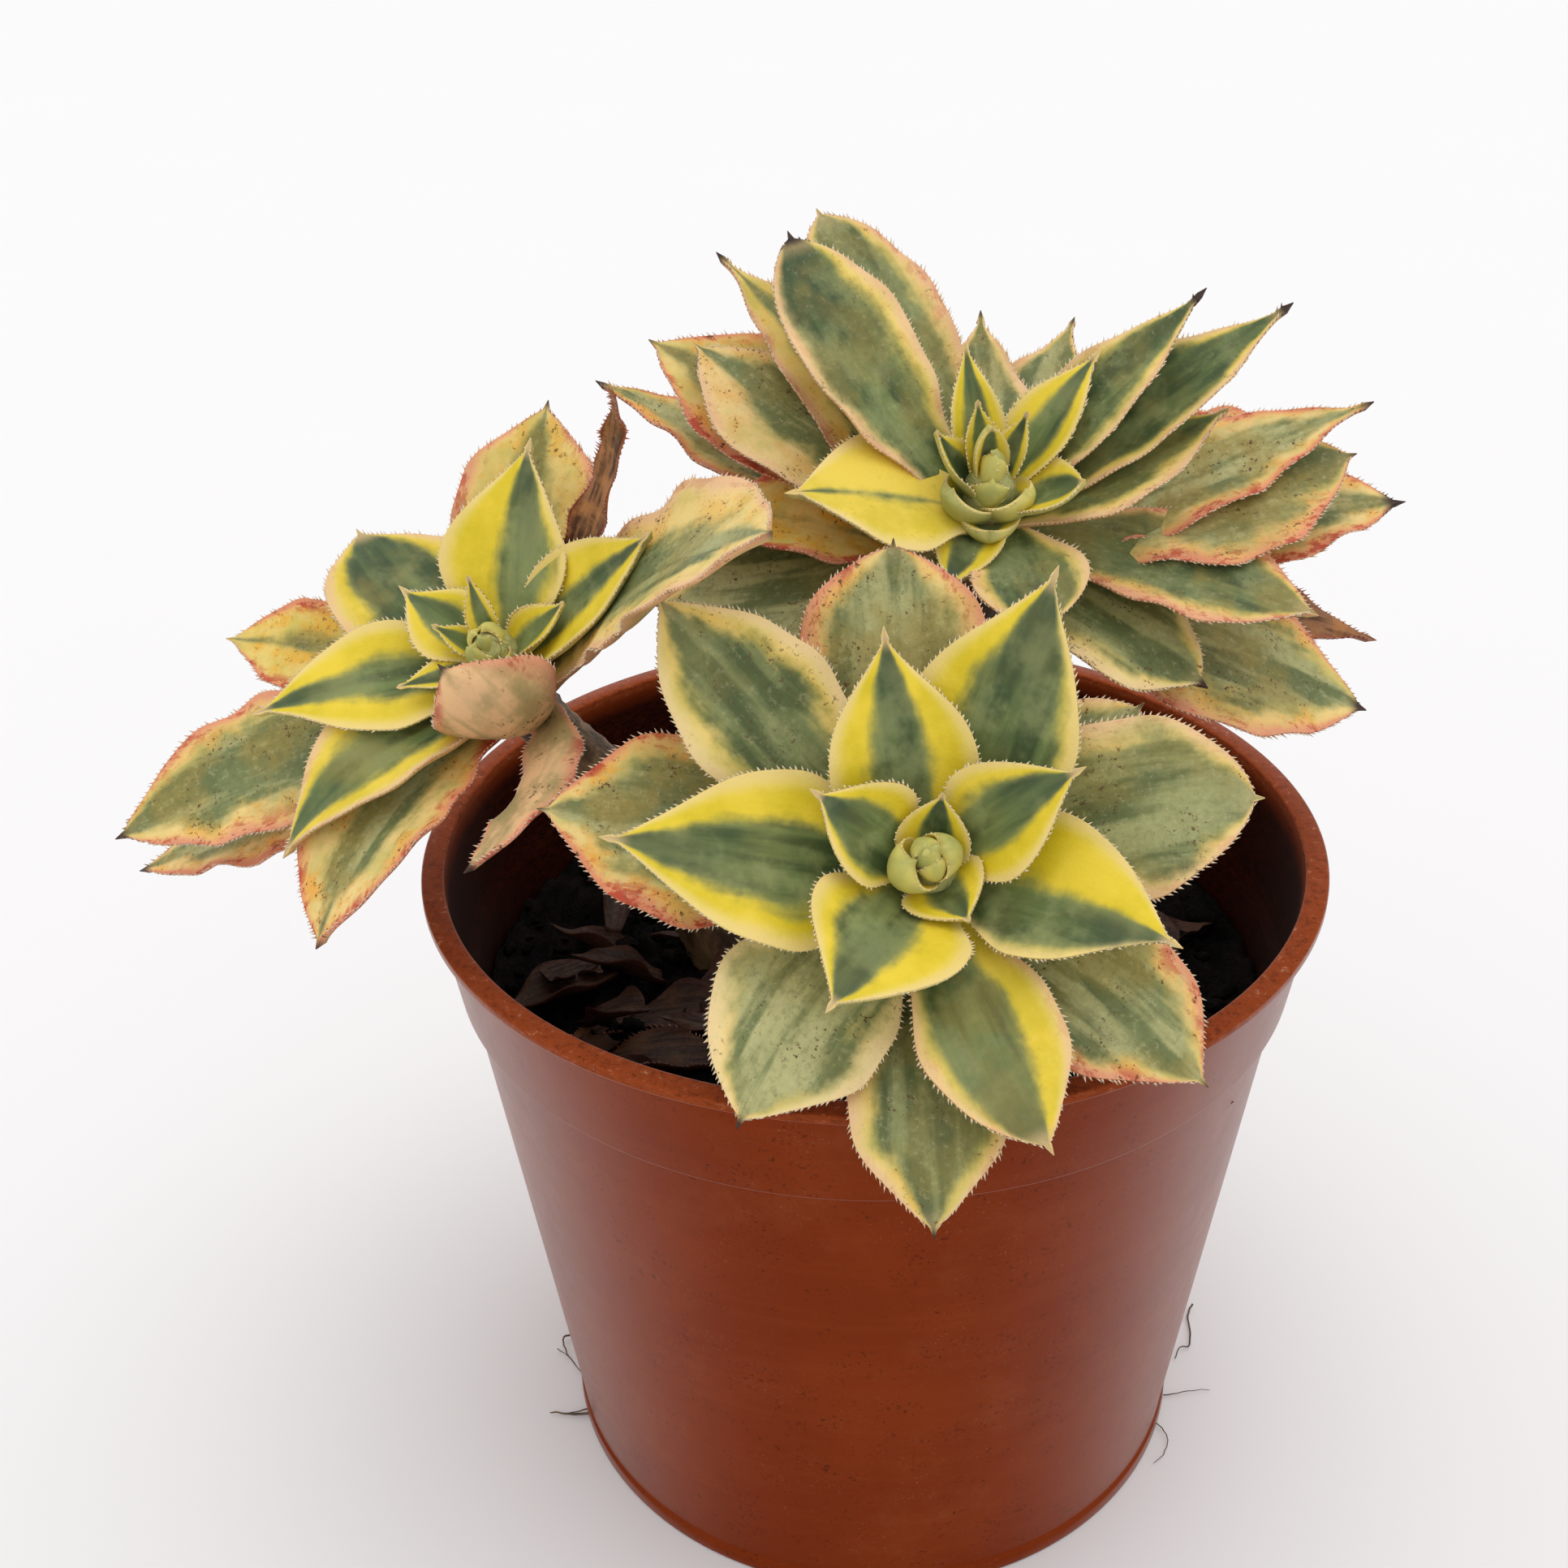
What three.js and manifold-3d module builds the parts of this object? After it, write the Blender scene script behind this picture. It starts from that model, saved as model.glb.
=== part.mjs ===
// Potted aeonium: a tapered nursery pot full of dark soil, with three leafy shoots growing out of it.
// Millimetres, +Z up. The origin is on the floor under the middle of the pot, and -Y is the front.
import * as THREE from "three";
import Module from "manifold-3d";

const wasm = await Module();
wasm.setup();

// Driving dimensions
const POT_HEIGHT = 83;
const LIP_RADIUS = 52.5;
const LIP_WIDTH = 2.6;
const LIP_THICKNESS = 1.2;
const BAND_TOP_RADIUS = 51.3;
const BAND_FOOT_RADIUS = 49.5;
const BAND_FOOT_Z = 69.8;
const BAND_STEP = 1;
const FOOT_RADIUS = 39.9;
const FOOT_HEIGHT = 2.2;
const WALL = 1.2;
const FLOOR_TOP = 3.6;
const CHANNEL_Z = 2;
const REST_PAD_RADIUS = 12;
const FOOT_RING_WIDTH = 5;
const DRAIN_HOLES = 8;
const DRAIN_HOLE_RADIUS = 3;
const SOIL_Z = 64;
const SOIL_BUMP = 1.1;
const GAP = 0.3;
const TURN_STEPS = 44;
const SOIL_STEPS = 28;

// Leaf section: thickness in the middle of a full leaf, and the number of stations along it
const LEAF_THICKNESS = 2.1;
const LEAF_STATIONS = 7;
const SIMPLIFY = 0.03;
const LEAF_FOOT_DEPTH = 1.2;
const SMALLEST_PIECE = 2;

// Each rosette: the tip of its heart, the way it faces, its stem's radius there and where the stem leaves
// the soil.
const ROSETTES = {
  front: { apex: [5.5, -40, 103.8], axis: [-0.02, -0.7, 0.71], stem: 3, bud: 4.4, root: [7, -15] },
  back: { apex: [12.6, -4, 128.8], axis: [0.06, -0.42, 0.91], stem: 3, bud: 3.8, root: [12, 9] },
  left: { apex: [-40.9, -12, 113.6], axis: [-0.25, -0.5, 0.83], stem: 2.8, bud: 3.2, root: [-19, 2] },
};

// Leaf outlines: the foot's share of the width, where the leaf is widest, and how sharply it ends
const OUTLINES = {
  young: { foot: 0.45, widest: 0.42, point: 1.25 },
  spoon: { foot: 0.38, widest: 0.61, point: 0.85 },
  round: { foot: 0.34, widest: 0.62, point: 0.6 },
};

// Leaf colours
const TONES = {
  fresh: 0xa9a64a,
  green: 0x87906a,
  pale: 0xa7a277,
  rose: 0xb38e68,
  dry: 0x7d5a3e,
};

// The leaves, from the heart outwards. Each row gives the turn round the rosette, the seat's depth below
// the tip of the heart, the rise, the bend along the leaf, the sideways sway and the roll in degrees, the
// length and width in mm, the cup of the section in degrees, the outline and the colour.
const FRONT_LEAVES = [
  [154, 2.5, 48, -20, -2, 0, 12, 11, 30, "young", "fresh"],
  [31, 3, 44, -20, -7, -2, 16, 12, 30, "young", "fresh"],
  [243, 3.2, 42, -20, -7, 0, 18, 16.5, 25, "young", "fresh"],
  [107, 3.8, 35, -15, -11, 0, 21, 15, 20, "young", "fresh"],
  [352, 4.2, 29, -20, -26, -3, 23, 15, 25, "young", "fresh"],
  [180, 4.8, 25, -15, -5, 0, 29, 18, 15, "young", "fresh"],
  [65, 5.2, 28, -15, 1, 0, 29, 18, 15, "young", "fresh"],
  [285, 5.8, 23, -25, 14, 0, 27, 14, 15, "spoon", "green"],
  [139, 6.4, 20, -10, -7, 0, 35, 16, 10, "spoon", "green"],
  [25, 7, 19, -12, -28, 0, 30, 18, 5, "round", "green"],
  [223, 7.4, 20, -27, 22, 0, 28, 18, 10, "spoon", "green"],
  [102, 8, 16, -10, -13, 0, 31, 21, 5, "round", "pale"],
  [330, 8.4, 15, -20, -17, 0, 30, 16, 10, "spoon", "pale"],
  [165, 9, 10, -10, 10, 0, 36, 20, 10, "spoon", "pale"],
  [37, 9.6, 12, -10, 5, 0, 24.5, 13, 10, "round", "pale"],
  [268, 9.8, 22, -45, 5, 0, 32, 16, 5, "spoon", "pale"],
];
const BACK_LEAVES = [
  [47, 3, 40, -10, 0, 0, 16, 8, 40, "young", "fresh"],
  [186, 4, 21, -15, 12, 0, 19, 17, 5, "young", "fresh"],
  [8, 4.5, 20, -5, 20, 0, 24, 14, 20, "young", "green"],
  [37, 4.6, 37, -8, 0, 0, 28.5, 10, 35, "young", "green"],
  [292, 5, 6, -20, 3, 0, 13, 13, 20, "round", "green"],
  [145, 5.4, 33, -10, -22, 0, 33.5, 15, 15, "round", "green"],
  [118, 7.6, 28, -12, 5, 0, 37, 14.5, 12, "round", "green"],
  [28, 6, 29, 0, -3, 0, 35, 13, 40, "young", "green"],
  [90, 7, 10, 0, 0, 0, 25, 12, 30, "young", "pale"],
  [154, 7.5, 9, 0, -14, 0, 35, 18, 15, "spoon", "green"],
  [355, 8, 0, -10, -17, -3, 33, 15, 10, "spoon", "green"],
  [70, 9, 8, 0, 0, 0, 29, 13, 30, "young", "pale"],
  [14, 9.5, 5, -5, 6, 7, 40, 21, 10, "spoon", "pale"],
  [198, 10, -14, -10, -30, 0, 34, 20, 10, "spoon", "pale"],
  [331, 10.5, -4, -15, -6, 0, 25, 16, 10, "spoon", "rose"],
  [141, 11, 8, 5, 14, -8, 41, 18, 20, "spoon", "pale"],
  [23, 11.5, 10, 5, -5, 6, 43, 15, 25, "young", "rose"],
  [129, 12, 23, 0, 14, -3, 41, 14, 30, "young", "rose"],
  [344, 12.5, -12, -15, 10, 3, 44, 20, 5, "spoon", "pale"],
  [20, 13.5, 3, -5, -15, 5, 46, 16, 10, "spoon", "rose"],
  [147, 14, 2, 0, 6, -3, 47, 13, 30, "young", "rose"],
  [8, 15, -10, -10, -12, 12, 45, 15, 10, "young", "dry"],
  [172, 13.6, 14, -76, -6, 0, 41, 12, 25, "young", "rose"],
];
const LEFT_LEAVES = [
  [147, 2.5, 27, -10, -10, -1, 10, 9, 25, "young", "fresh"],
  [79, 4, 34, -10, -12, -8, 21, 16, 20, "young", "fresh"],
  [183, 5, 19, -10, 19, -2, 24, 14, 15, "young", "fresh"],
  [20, 5, 31, 5, -11, 2, 22, 13, 45, "young", "fresh"],
  [292, 10.4, 41, 108, -20, 0, 19.5, 15, 42, "spoon", "rose"],
  [45, 9.6, 40, 60, -27, 0, 43.5, 4.5, 40, "young", "dry"],
  [220, 7.6, 26, -60, 0, 6, 29, 15, 35, "young", "green"],
  [140, 6.5, 5, -5, -15, 25, 27, 18, 15, "spoon", "green"],
  [84, 7.5, 22, 0, -12, 10, 28, 17, 20, "spoon", "pale"],
  [188, 9, 4, -10, 14, -8, 46, 17, 10, "spoon", "pale"],
  [14, 9, 40, 5, -39, -43, 47, 19, 20, "spoon", "pale"],
  [227, 8.8, 17, -26, 28, 24, 33.5, 19, 18, "spoon", "pale"],
  [159, 10, 5, -10, 5, -10, 37, 13, 15, "spoon", "rose"],
  [313, 11, 30, 0, -80, 0, 28, 9.5, -40, "spoon", "rose"],
  [197, 12, -6, -10, -12, 15, 51, 12, 10, "spoon", "rose"],
];

const radians = THREE.MathUtils.degToRad;

// One small solid kernel shared by every part: meshes go in, booleans happen, a mesh comes out.
function solid(points, triangles) {
  const made = new wasm.Mesh({
    numProp: 3,
    vertProperties: new Float32Array(points.flatMap((p) => [p.x, p.y, p.z])),
    triVerts: new Uint32Array(triangles.flat()),
  });
  made.merge();
  return new wasm.Manifold(made);
}

function largestPiece(body) {
  const pieces = body.decompose().filter((piece) => piece.volume() > SMALLEST_PIECE);
  return pieces.sort((a, b) => b.volume() - a.volume())[0];
}

function geometryOf(body) {
  const mesh = body.getMesh();
  const positions = new Float32Array(mesh.numVert * 3);
  for (let i = 0; i < mesh.numVert; i++) {
    positions.set(mesh.vertProperties.subarray(i * mesh.numProp, i * mesh.numProp + 3), i * 3);
  }
  const geometry = new THREE.BufferGeometry();
  geometry.setAttribute("position", new THREE.BufferAttribute(positions, 3));
  geometry.setIndex(new THREE.BufferAttribute(new Uint32Array(mesh.triVerts), 1));
  geometry.computeVertexNormals();
  return geometry;
}

// Rings of points joined into one closed skin, with a fan at each end.
function skinOf(rings) {
  const count = rings[0].length;
  const points = rings.flat();
  const triangles = [];
  for (let i = 0; i + 1 < rings.length; i++) {
    for (let j = 0; j < count; j++) {
      const a = i * count + j;
      const b = i * count + ((j + 1) % count);
      triangles.push([a, b, b + count], [a, b + count, a + count]);
    }
  }
  for (const [ring, start] of [[0, 0], [rings.length - 1, (rings.length - 1) * count]]) {
    const middle = new THREE.Vector3();
    rings[ring].forEach((p) => middle.addScaledVector(p, 1 / count));
    points.push(middle);
    for (let j = 0; j < count; j++) {
      const next = start + ((j + 1) % count);
      triangles.push(ring ? [start + j, next, points.length - 1] : [next, start + j, points.length - 1]);
    }
  }
  return solid(points, triangles);
}

// A profile of [radius, height] pairs, drawn anticlockwise from the axis back to the axis, turned into a
// solid. A radius of nothing puts the point on the axis.
function turnedSolid(profile, steps = TURN_STEPS, bump = () => 0) {
  const points = [];
  const rows = profile.map(([radius, height]) => {
    if (radius === 0) {
      points.push(new THREE.Vector3(0, 0, height + bump(0, 0, height)));
      return Array(steps).fill(points.length - 1);
    }
    return Array.from({ length: steps }, (_, j) => {
      const angle = (j / steps) * 2 * Math.PI;
      const x = radius * Math.cos(angle);
      const y = radius * Math.sin(angle);
      points.push(new THREE.Vector3(x, y, height + bump(x, y, height)));
      return points.length - 1;
    });
  });
  const triangles = [];
  for (let i = 0; i + 1 < rows.length; i++) {
    for (let j = 0; j < steps; j++) {
      const next = (j + 1) % steps;
      const [a, b, c, d] = [rows[i][j], rows[i][next], rows[i + 1][next], rows[i + 1][j]];
      if (a !== b) triangles.push([a, b, c]);
      if (c !== d) triangles.push([a, c, d]);
    }
  }
  return solid(points, triangles);
}

// The frame of a rosette: along its axis, towards image right, and up the slope behind it.
function rosetteFrame(rosette) {
  const along = new THREE.Vector3(...rosette.axis).normalize();
  const right = new THREE.Vector3(1, 0, 0).addScaledVector(along, -along.x).normalize();
  const back = new THREE.Vector3().crossVectors(along, right);
  return { apex: new THREE.Vector3(...rosette.apex), along, right, back };
}

function halfWidthShare(t, outline) {
  const { foot, widest, point } = OUTLINES[outline];
  if (t < widest) return foot + (1 - foot) * Math.sin((Math.PI / 2) * (t / widest)) ** 2;
  return Math.max(Math.cos(((Math.PI / 2) * (t - widest)) / (1 - widest)), 0) ** point;
}

// One leaf: stations along a midrib that rises, bends and sways, each a lens-shaped section whose two
// halves curve up from the midrib. grow makes the same leaf larger all round, to cut its neighbours with.
function leafSolid(rosette, row, grow = 0) {
  const [turn, seat, rise, bend, sway, roll, length, width, cup, outline] = row;
  const { apex, along, right, back } = rosetteFrame(rosette);
  const angle = radians(turn);
  const radial = right.clone().multiplyScalar(Math.cos(angle)).addScaledVector(back, Math.sin(angle));
  const around = new THREE.Vector3().crossVectors(along, radial);
  const inner = rosette.stem - LEAF_FOOT_DEPTH;
  const place = apex.clone().addScaledVector(along, -seat).addScaledVector(radial, inner);
  const full = length + LEAF_FOOT_DEPTH;
  const rings = [];
  let last = null;
  for (let i = 0; i <= LEAF_STATIONS; i++) {
    const t = 1 - (1 - i / LEAF_STATIONS) ** 1.15;
    const e = radians(rise + bend * t * t);
    const s = radians(sway * t);
    const r = radians(roll * t);
    const out = radial.clone().multiplyScalar(Math.cos(e)).addScaledVector(along, Math.sin(e));
    const up = along.clone().multiplyScalar(Math.cos(e)).addScaledVector(radial, -Math.sin(e));
    const ahead = out.clone().multiplyScalar(Math.cos(s)).addScaledVector(around, Math.sin(s));
    const flat = around.clone().multiplyScalar(Math.cos(s)).addScaledVector(out, -Math.sin(s));
    const side = flat.clone().multiplyScalar(Math.cos(r)).addScaledVector(up, Math.sin(r));
    const face = up.clone().multiplyScalar(Math.cos(r)).addScaledVector(flat, -Math.sin(r));
    if (last) {
      const mean = last.ahead.clone().add(ahead).multiplyScalar(0.5);
      place.addScaledVector(mean, full * (t - last.t));
    }
    last = { ahead, t };
    const half = Math.max((halfWidthShare(t, outline) * width) / 2, 0.35) + 2 * grow;
    const thick = LEAF_THICKNESS * (1 - 0.55 * t) * Math.min(1, width / 14);
    const curve = (radians(cup) / (width / 2)) * (1.35 - 0.7 * t) + 1e-6;
    const at = (v, lift) => {
      const arc = Math.abs(v) * half;
      const x = (Math.sin(curve * arc) / curve) * Math.sign(v);
      const z = (1 - Math.cos(curve * arc)) / curve + lift;
      return place.clone().addScaledVector(side, x).addScaledVector(face, z);
    };
    const under = (v) => at(v, -grow - thick * (1 - v * v) ** 0.7);
    rings.push([at(-1, 0), under(-0.5), under(0.5), at(1, 0), at(0.5, grow), at(-0.5, grow)]);
  }
  if (grow) rings.push(rings.at(-1).map((p) => p.clone().addScaledVector(last.ahead, 2 * grow)));
  return skinOf(rings);
}

// A shoot: one grown piece from its socket in the soil to the heart of its rosette. grow as above.
const SOCKET_DEPTH = 9;
const SHOOT_SIDES = 8;
const BUD_SHAPE = [[5, 1], [3.4, 0.95], [2.2, 0.9], [1.1, 0.66], [0.3, 0.3]];

function shootSolid(rosette, grow = 0) {
  const { apex, along } = rosetteFrame(rosette);
  const [x, y] = rosette.root;
  const below = (depth) => apex.clone().addScaledVector(along, -depth);
  const stalk = new THREE.CatmullRomCurve3([
    new THREE.Vector3(x, y, SOIL_Z - SOCKET_DEPTH - grow),
    new THREE.Vector3(x, y, SOIL_Z + 1),
    below(24).lerp(new THREE.Vector3(x, y, SOIL_Z + 12), 0.4),
    below(17),
    below(6),
  ]);
  const rings = [];
  const ringAt = (centre, tangent, radius) => {
    const across = new THREE.Vector3(1, 0, 0).addScaledVector(tangent, -tangent.x).normalize();
    const over = new THREE.Vector3().crossVectors(tangent, across);
    const points = [];
    for (let j = 0; j < SHOOT_SIDES; j++) {
      const angle = (j / SHOOT_SIDES) * 2 * Math.PI;
      const spoke = across.clone().multiplyScalar(Math.cos(angle)).addScaledVector(over, Math.sin(angle));
      points.push(centre.clone().addScaledVector(spoke, radius + grow));
    }
    rings.push(points);
  };
  const steps = 9;
  for (let i = 0; i <= steps; i++) {
    const t = i / steps;
    const radius = rosette.stem + 0.7 * (1 - t) + 0.25 * Math.sin(9 * t);
    ringAt(stalk.getPoint(t), stalk.getTangent(t), radius);
  }
  for (const [depth, share] of BUD_SHAPE) {
    const radius = depth > 4 ? rosette.stem : rosette.bud * share;
    ringAt(below(depth - grow), along, radius);
  }
  return skinOf(rings);
}

// The pot: a thin lathe-turned shell with a rolled lip, a rim band stepped out from the tapered body, a foot
// ring and a middle pad on the floor, and drain holes through the raised channel between them.
const bodyRadius = (z) => THREE.MathUtils.mapLinear(
  z, FOOT_HEIGHT, BAND_FOOT_Z, FOOT_RADIUS, BAND_FOOT_RADIUS - BAND_STEP,
);

function potSolid() {
  const bodyTop = BAND_FOOT_RADIUS - BAND_STEP;
  const lipInner = LIP_RADIUS - LIP_WIDTH;
  const ringInner = FOOT_RADIUS - FOOT_RING_WIDTH;
  const shell = turnedSolid([
    [0, 0],
    [REST_PAD_RADIUS, 0],
    [REST_PAD_RADIUS + 1, CHANNEL_Z],
    [ringInner - 1, CHANNEL_Z],
    [ringInner, 0],
    [FOOT_RADIUS, 0],
    [FOOT_RADIUS, FOOT_HEIGHT - 0.4],
    [FOOT_RADIUS - 0.35, FOOT_HEIGHT],
    [bodyTop, BAND_FOOT_Z - 0.4],
    [BAND_FOOT_RADIUS, BAND_FOOT_Z],
    [BAND_TOP_RADIUS, POT_HEIGHT - LIP_THICKNESS],
    [LIP_RADIUS, POT_HEIGHT - LIP_THICKNESS + 0.1],
    [LIP_RADIUS, POT_HEIGHT],
    [lipInner, POT_HEIGHT],
    [BAND_FOOT_RADIUS - WALL, BAND_FOOT_Z + 1],
    [bodyTop - WALL, BAND_FOOT_Z - 1.4],
    [bodyRadius(FLOOR_TOP) - WALL, FLOOR_TOP],
    [0, FLOOR_TOP],
  ]);
  const ringMiddle = (REST_PAD_RADIUS + ringInner) / 2;
  const holes = Array.from({ length: DRAIN_HOLES }, (_, i) => {
    const angle = ((i + 0.5) / DRAIN_HOLES) * 2 * Math.PI;
    return turnedSolid([[0, -1], [DRAIN_HOLE_RADIUS, -1], [DRAIN_HOLE_RADIUS, FLOOR_TOP + 1], [0, FLOOR_TOP + 1]], 16)
      .translate([ringMiddle * Math.cos(angle), ringMiddle * Math.sin(angle), 0]);
  });
  return shell.subtract(wasm.Manifold.union(holes));
}

// The soil fills the pot to a lumpy surface and has a socket for each shoot.
function soilSolid(sockets) {
  const edge = bodyRadius(SOIL_Z) - WALL - GAP;
  const bump = (x, y, z) => {
    if (z < SOIL_Z) return 0;
    const fade = 1 - (Math.hypot(x, y) / edge) ** 6;
    return SOIL_BUMP * fade * (Math.sin(0.21 * x + 1) * Math.cos(0.17 * y) + 0.6 * Math.sin(0.33 * y - 0.2 * x));
  };
  const rings = [0.9, 0.68, 0.46, 0.22];
  const body = turnedSolid([
    [0, FLOOR_TOP + GAP],
    [bodyRadius(FLOOR_TOP) - WALL - GAP, FLOOR_TOP + GAP],
    [edge, SOIL_Z - 0.5],
    ...rings.map((share) => [share * edge, SOIL_Z]),
    [0, SOIL_Z],
  ], SOIL_STEPS, bump);
  return body.subtract(wasm.Manifold.union(sockets));
}

// A dry fallen leaf lying on the soil, curled up at its sides.
const FALLEN_LEAF = [187, 0, 0, -6, 8, 6, 17, 9, 35, "young", "dry"];
const FALLEN_PLACE = { apex: [-17, -21, SOIL_Z + 2.2], axis: [0.05, 0.1, 1], stem: 0 };

// Everything is named, coloured and put in one group. Each leaf in turn gives way to the shoots and to the
// leaves already placed, by the gap that keeps neighbours apart.
function meshOf(name, body, color, roughness) {
  const material = new THREE.MeshStandardMaterial({ color, roughness, metalness: 0 });
  const mesh = new THREE.Mesh(geometryOf(body), material);
  mesh.name = name;
  return mesh;
}

function boxesMeet(a, b) {
  const [p, q] = [a.boundingBox(), b.boundingBox()];
  return [0, 1, 2].every((k) => p.min[k] < q.max[k] && q.min[k] < p.max[k]);
}

const plant = new THREE.Group();
plant.name = "potted_aeonium";
plant.add(meshOf("pot", potSolid(), 0x9a4a2c, 0.5));

const shoots = Object.entries(ROSETTES).map(([name, rosette]) => ({ name, rosette }));
const keepClear = shoots.map(({ rosette }) => shootSolid(rosette, GAP));
plant.add(meshOf("soil", soilSolid(keepClear), 0x1d1512, 0.95));
for (const { name, rosette } of shoots) {
  plant.add(meshOf(`${name}_shoot`, shootSolid(rosette), 0x9a9a62, 0.6));
}

const LEAVES = { front: FRONT_LEAVES, back: BACK_LEAVES, left: LEFT_LEAVES };
for (const { name, rosette } of shoots) {
  LEAVES[name].forEach((row, i) => {
    let leaf = leafSolid(rosette, row);
    for (const other of keepClear) {
      if (boxesMeet(leaf, other)) leaf = leaf.subtract(other);
    }
    leaf = largestPiece(largestPiece(leaf).simplify(SIMPLIFY));
    keepClear.push(leafSolid(rosette, row, GAP));
    const label = String(i + 1).padStart(2, "0");
    plant.add(meshOf(`${name}_leaf_${label}`, leaf, TONES[row[10]], 0.55));
  });
}
plant.add(meshOf("fallen_leaf", leafSolid(FALLEN_PLACE, FALLEN_LEAF), TONES.dry, 0.8));

export default plant;
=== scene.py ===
# %% [markdown]
# A potted aeonium: three rosettes of thick, toothed, striped leaves that lean out of a brown nursery pot.
# The plant grows by one rule repeated, so this lesson writes the rule once, as a leaf made from a few
# numbers, and then spends its time on what makes each leaf look grown: its teeth, its stripes and its wear.

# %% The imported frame
import math

import bmesh
import bpy
import numpy as np
from mathutils import Matrix, Vector, noise


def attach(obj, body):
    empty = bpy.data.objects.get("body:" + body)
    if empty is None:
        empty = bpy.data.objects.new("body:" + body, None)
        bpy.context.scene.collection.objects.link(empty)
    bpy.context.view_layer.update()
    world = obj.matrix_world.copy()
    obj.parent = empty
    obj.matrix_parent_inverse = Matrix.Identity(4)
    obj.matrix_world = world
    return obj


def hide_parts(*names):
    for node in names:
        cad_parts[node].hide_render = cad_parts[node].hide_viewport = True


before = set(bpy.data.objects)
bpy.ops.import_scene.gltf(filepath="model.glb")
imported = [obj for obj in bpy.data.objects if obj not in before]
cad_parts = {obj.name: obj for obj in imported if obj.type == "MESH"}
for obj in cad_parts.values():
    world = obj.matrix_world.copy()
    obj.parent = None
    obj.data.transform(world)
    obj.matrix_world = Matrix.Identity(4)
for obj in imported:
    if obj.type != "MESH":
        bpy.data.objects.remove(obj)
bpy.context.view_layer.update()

# %% [markdown]
# The leaves are described in millimetres, the way a grower would measure them, and Blender works in
# metres, so one factor turns the first into the second. These are the same driving sizes as the solid
# model's. The pot is a common 10.5 cm nursery pot.

# %% Driving sizes
MM = 0.001
POT_HEIGHT = 83
LIP_RADIUS = 52.5
LIP_WIDTH = 2.6
LIP_THICKNESS = 1.2
BAND_TOP_RADIUS = 51.3
BAND_FOOT_RADIUS = 49.5
BAND_FOOT_Z = 69.8
BAND_STEP = 1
FOOT_RADIUS = 39.9
FOOT_HEIGHT = 2.2
WALL = 1.2
FLOOR_TOP = 3.6
CHANNEL_Z = 2
REST_PAD_RADIUS = 12
FOOT_RING_WIDTH = 5
DRAIN_HOLES = 8
DRAIN_HOLE_RADIUS = 3
SOIL_Z = 64
LEAF_THICKNESS = 2.1
LEAF_FOOT_DEPTH = 1.2
SOCKET_DEPTH = 9

# %% [markdown]
# Each rosette has the tip of its heart, the way it faces, the radius of its stem and heart, and the spot
# where its stem leaves the soil. An outline says how wide a leaf is at its foot, where it is widest, how
# sharply it ends and how plump it is, all as shares, so a few of them serve every size of leaf.

# %% Rosettes and outlines
ROSETTES = {
    "front": dict(apex=(5.5, -40, 103.8), axis=(-0.02, -0.7, 0.71), stem=3, bud=4.4, root=(7, -15)),
    "back": dict(apex=(12.6, -4, 128.8), axis=(0.06, -0.42, 0.91), stem=3, bud=3.8, root=(12, 9)),
    "left": dict(apex=(-40.9, -12, 113.6), axis=(-0.25, -0.5, 0.83), stem=2.8, bud=3.2, root=(-19, 2)),
}
OUTLINES = {
    "young": dict(foot=0.45, widest=0.42, point=1.25, plump=1.0),
    "spoon": dict(foot=0.38, widest=0.61, point=0.85, plump=1.0),
    "round": dict(foot=0.34, widest=0.62, point=0.6, plump=1.0),
    "scale": dict(foot=0.8, widest=0.5, point=0.7, plump=2.0),
}
print("outlines:", list(OUTLINES))

# %% [markdown]
# A leaf is one row: the turn round the rosette, how far below the tip it sits, its rise, bend, sway and
# roll in degrees, its length and width in mm, how much its section is cupped, its outline and its tone.
# A spiral rule could set the turns, but a real plant has leaned and lost leaves, so each row is its own.

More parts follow.
